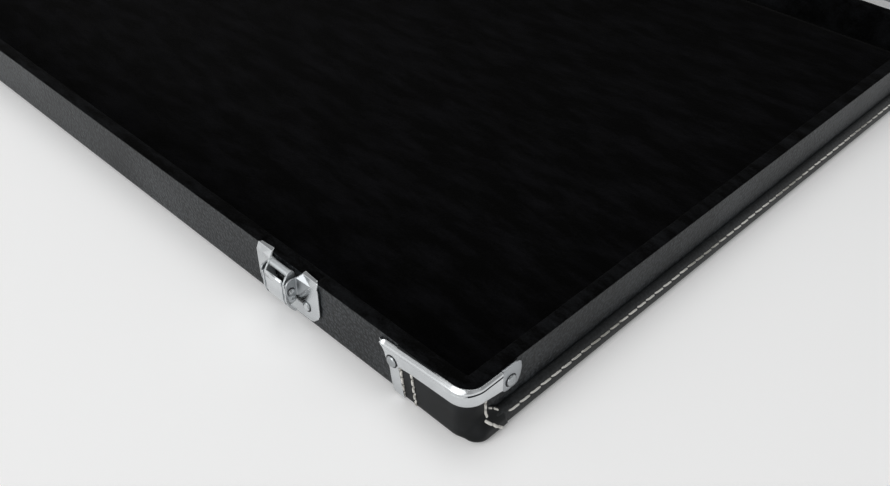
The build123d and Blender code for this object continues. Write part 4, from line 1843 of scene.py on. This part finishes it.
# ---- handle ---------------------------------------------------------------------------
@dataclass
class HandleGrip:
    """The handle's stitched leather grip, padded over its core.

    Places are in the shut lid's frame: along the grip, out from the front wall and up, in mm.

    Attributes:
        half: half its length.
        middle: its radius at the middle.
        end: its radius at the ends.
        end_round: length over which the ends round off.
        end_drop: how much thinner they are at the tip.
        out: how far its middle line stands out from the front wall.
        height: height of its middle line when the lid is shut.
        seam_depth: how deep the seam is pulled in.
        seam_width: half the angle that it takes up, in radians.
        sides: points round it.
        steps: cells along it.
        thread_beside: angle between the seam and a row of thread, in radians.
        thread_in: how far inside the grip's ends the thread stops.
        thread_steps: lengths that a row's route is drawn in.
    """

    half: float = 50.0
    middle: float = 7.8
    end: float = 5.4
    end_round: float = 2.0
    end_drop: float = 1.6
    out: float = 9.2
    height: float = 48.3
    seam_depth: float = 0.5
    seam_width: float = 0.14
    sides: int = 28
    steps: int = 56
    thread_beside: float = 0.42
    thread_in: float = 4.0
    thread_steps: int = 40

    def radius(self, along: float) -> float:
        """Finds the grip's radius, smaller towards its rounded ends.

        Args:
            along: the distance from its middle.

        Returns:
            The radius in mm.
        """
        share = min(1.0, abs(along) / self.half)
        body = self.middle - (self.middle - self.end) * share ** 2
        inside = 1 - min(1.0, (self.half - abs(along)) / self.end_round)
        return body - self.end_drop * (1 - math.sqrt(max(0.0, 1 - inside ** 2)))

    def point(self, along: float, angle: float, lift: float = 0.0) -> Vector:
        """Finds a point of the leather.

        Args:
            along: the distance from the grip's middle.
            angle: 0 faces away from the wall, a quarter turn faces up, in radians.
            lift: how far it stands over the leather.

        Returns:
            The point in the shut lid's millimetres.
        """
        from_seam = angle % (2 * math.pi) - math.pi
        seam = self.seam_depth * math.exp(-(from_seam / self.seam_width) ** 2)
        rise, fall = math.sin(angle), math.cos(angle)
        wander = 0.1 * noise.noise(Vector((along / 9, fall * 2, rise * 2)))
        reach = self.radius(along) - seam + wander + lift
        return Vector((along, -CASE.half_depth - self.out - reach * fall,
                       self.height + reach * rise))

    def leather(self) -> bpy.types.Object:
        """Builds the leather with its pulled-in seam.

        Returns:
            The piece.
        """
        angles = [2 * math.pi * j / self.sides for j in range(self.sides)]
        grid = []
        for k in range(self.steps + 1):
            along = -self.half * math.cos(math.pi * k / self.steps)
            grid.append([CASE.open_up(self.point(along, angle)) for angle in angles])
        piece = mesh_object("handle_leather", flatten(grid), tube_faces(len(grid), self.sides),
                            Surface.GRIP_LEATHER)
        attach(piece, "handle")
        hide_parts("handle_grip")
        return piece

    def stitching(self) -> bpy.types.Object:
        """Builds the two rows of thread beside the seam.

        Returns:
            The piece.
        """
        rings, faces = [], []
        for side in (-1, 1):
            angle = math.pi + side * self.thread_beside
            route = []
            for k in range(self.thread_steps + 1):
                along = (self.half - self.thread_in) * (2 * k / self.thread_steps - 1)
                here = self.point(along, angle)
                route.append((here, (self.point(along, angle, lift=1.0) - here).normalized()))
            row = StitchRow(route, stitch=4.2, gap=0.5, thick=0.8, slant=0.15)
            row_rings, row_faces = row.mesh()
            faces += shifted(row_faces, len(rings) * row.sides)
            rings += [[CASE.open_up(p) for p in ring] for ring in row_rings]
        piece = mesh_object("handle_stitching", flatten(rings), faces, Surface.THREAD)
        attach(piece, "handle")
        return piece

    def build(self) -> list[bpy.types.Object]:
        """The leather and its thread."""
        return [self.leather(), self.stitching()]


# ---- carried-over hard parts ----------------------------------------------------------
@dataclass
class HardParts:
    """The wood, vinyl and metal parts whose CAD shape stays, each with its finish.

    Attributes:
        rules: a word in a node's name to its finish; the first that fits holds.
    """

    rules: dict[str, Surface] = field(default_factory=lambda: {
        "rivet": Surface.RIVET_PLATING,
        "pin": Surface.PIN_STEEL,
        "core": Surface.PIN_STEEL,
        "hasp": Surface.ROLL_PLATING,
        "covering": Surface.WALL_VINYL,
        "wall_": Surface.PLYWOOD,
        "panel": Surface.PLYWOOD,
        "grip": Surface.GRIP_LEATHER,
    })

    def finish_of(self, node: str) -> Surface:
        """The finish of a node by its name; the rest is plated steel."""
        return next((finish for word, finish in self.rules.items() if word in node),
                    Surface.PLATING)

    def build(self) -> list[bpy.types.Object]:
        """Gives every CAD node its material.

        Returns:
            The nodes.
        """
        for name, node in frame["nodes"].items():
            material = self.finish_of(name).material()
            if not node.data.materials:
                node.data.materials.append(material)
            for slot in node.material_slots:
                slot.material = material
        return list(frame["nodes"].values())


# ---- studio ---------------------------------------------------------------------------
@dataclass(frozen=True)
class Lamp:
    """A square soft lamp that looks at the case.

    Attributes:
        name: the lamp's name.
        place: where it stands, in metres.
        size: its side in metres.
        power: watts.
        aim: what it looks at, in metres.
    """

    name: str
    place: Point
    size: float
    power: float
    aim: Point = (0.0, 0.0, 0.05)

    def hang(self) -> None:
        """Puts the lamp into the scene."""
        data = bpy.data.lights.new(self.name, "AREA")
        data.shape = "SQUARE"
        data.size = self.size
        data.energy = self.power
        lamp = bpy.data.objects.new(self.name, data)
        lamp.location = self.place
        lamp.rotation_mode = "QUATERNION"
        lamp.rotation_quaternion = (Vector(self.place) - Vector(self.aim)).to_track_quat("Z", "Y")
        bpy.context.scene.collection.objects.link(lamp)


@dataclass
class Studio:
    """Floor, soft light, world and camera.

    Attributes:
        eye: the camera's place in mm from the case's origin.
        pitch: its tilt from straight down, in degrees.
        yaw: its turn about Z, in degrees.
        lens: focal length in mm.
        sensor: the sensor's width in mm.
        overhead: strength of the dim surround that lights the case and shows overhead in the
            plating.
        floor_half: half the floor's side in metres.
        floor_drop: how far the floor lies under the case, in metres.
        floor_glow: how much the floor's own white adds to what the camera sees.
        lamps: the lamps.
    """

    eye: Point = (483.0, -421.1, 327.2)
    pitch: float = 50.91
    yaw: float = 44.98
    lens: float = 39.79
    sensor: float = 36.0
    overhead: float = 0.32
    floor_half: float = 12.0
    floor_drop: float = 0.0003
    floor_glow: float = 0.14
    lamps: tuple[Lamp, ...] = (
        Lamp("key", (0.0, -2.5, 1.5), 2.0, 36.0),
        Lamp("fill", (1.9, -0.4, 1.5), 1.4, 1.5),
        Lamp("top", (-0.3, 0.4, 2.4), 1.8, 16.0),
    )

    def camera(self) -> None:
        """The camera, with no depth of field and no shift."""
        data = bpy.data.cameras.new("camera")
        data.lens = self.lens
        data.sensor_width = self.sensor
        data.clip_start = 0.01
        data.clip_end = 50.0
        camera = bpy.data.objects.new("camera", data)
        camera.location = Vector(self.eye) * MM
        camera.rotation_euler = (math.radians(self.pitch), 0.0, math.radians(self.yaw))
        bpy.context.scene.collection.objects.link(camera)
        bpy.context.scene.camera = camera

    def shown(self, tree: bpy.types.NodeTree, path: bpy.types.Node) -> bpy.types.NodeSocket:
        """Picks out the rays that show a surface, and not those that light the case.

        Args:
            tree: the tree.
            path: its light path node.

        Returns:
            1 for camera, glossy and transmission rays, and 0 for the rest.
        """
        seen = add_node(tree, "ShaderNodeMath", {
            0: path.outputs["Is Camera Ray"], 1: path.outputs["Is Glossy Ray"],
        }, operation="MAXIMUM")
        through = add_node(tree, "ShaderNodeMath", {
            0: seen.outputs[0], 1: path.outputs["Is Transmission Ray"],
        }, operation="MAXIMUM")
        return through.outputs[0]

    def floor(self) -> None:
        """A plain pale floor that shows white to the camera and keeps the shadow."""
        material = bpy.data.materials.new("studio paper")
        material.use_nodes = True
        tree = material.node_tree
        glow = add_node(tree, "ShaderNodeMath", {
            0: self.shown(tree, add_node(tree, "ShaderNodeLightPath")), 1: self.floor_glow,
        }, operation="MULTIPLY")
        set_inputs(tree, tree.nodes["Principled BSDF"], {
            "Base Color": linear("f4f4f4"),
            "Roughness": 0.9,
            "Specular IOR Level": 0.1,
            "Emission Color": (1, 1, 1, 1),
            "Emission Strength": glow.outputs[0],
        })
        half = self.floor_half
        corners = ((-half, -half), (half, -half), (half, half), (-half, half))
        mesh = bpy.data.meshes.new("studio_floor")
        mesh.from_pydata([(x, y, -self.floor_drop) for x, y in corners], [], [(0, 1, 2, 3)])
        mesh.materials.append(material)
        floor = bpy.data.objects.new("studio_floor", mesh)
        bpy.context.scene.collection.objects.link(floor)

    def world(self) -> None:
        """A white surround for the camera and for reflections, and a softer one as light."""
        world = bpy.data.worlds.new("studio")
        bpy.context.scene.world = world
        world.use_nodes = True
        tree = world.node_tree
        tree.nodes.clear()
        path = add_node(tree, "ShaderNodeLightPath")
        where = add_node(tree, "ShaderNodeTexCoord").outputs["Generated"]
        up = add_node(tree, "ShaderNodeSeparateXYZ", {0: where})
        overhead = add_node(tree, "ShaderNodeMapRange", {
            "Value": up.outputs[2], 1: 0.3, 2: 0.62, 3: 1.0, 4: self.overhead,
        })
        strength = add_node(tree, "ShaderNodeMath", {
            0: overhead.outputs[0], 1: path.outputs["Is Camera Ray"],
        }, operation="MAXIMUM")
        light = add_node(tree, "ShaderNodeBackground", {
            "Color": (1, 1, 1, 1), "Strength": self.overhead,
        })
        white = add_node(tree, "ShaderNodeBackground", {
            "Color": (1, 1, 1, 1), "Strength": strength.outputs[0],
        })
        mix = add_node(tree, "ShaderNodeMixShader", {
            0: self.shown(tree, path), 1: light.outputs[0], 2: white.outputs[0],
        })
        add_node(tree, "ShaderNodeOutputWorld", {"Surface": mix.outputs[0]})

    def build(self) -> list[bpy.types.Object]:
        """Sets up the whole studio.

        Returns:
            Nothing to list, since none of it belongs to the case.
        """
        self.camera()
        self.floor()
        self.world()
        for lamp in self.lamps:
            lamp.hang()
        bpy.context.scene.view_settings.view_transform = "Standard"
        return []


def main() -> None:
    """Builds every class in order and reports its pieces."""
    logging.basicConfig(level=logging.INFO, format="%(message)s")
    makers = [
        Studio(),
        HardParts(),
        PlushInside(TRAY),
        PlushInside(LID, crown=0.8),
        LeatherCorner(TRAY),
        LeatherCorner(LID),
        BoundEdge(TRAY),
        BoundEdge(LID),
        CornerGuard(TRAY),
        CornerGuard(LID),
        LatchPlate(-CASE.latch_x, "left"),
        LatchPlate(CASE.latch_x, "right"),
        HandleGrip(),
    ]
    for maker in makers:
        for piece in maker.build():
            logging.info("%s: %s", type(maker).__name__, piece.name)


if __name__ == "__main__":
    main()
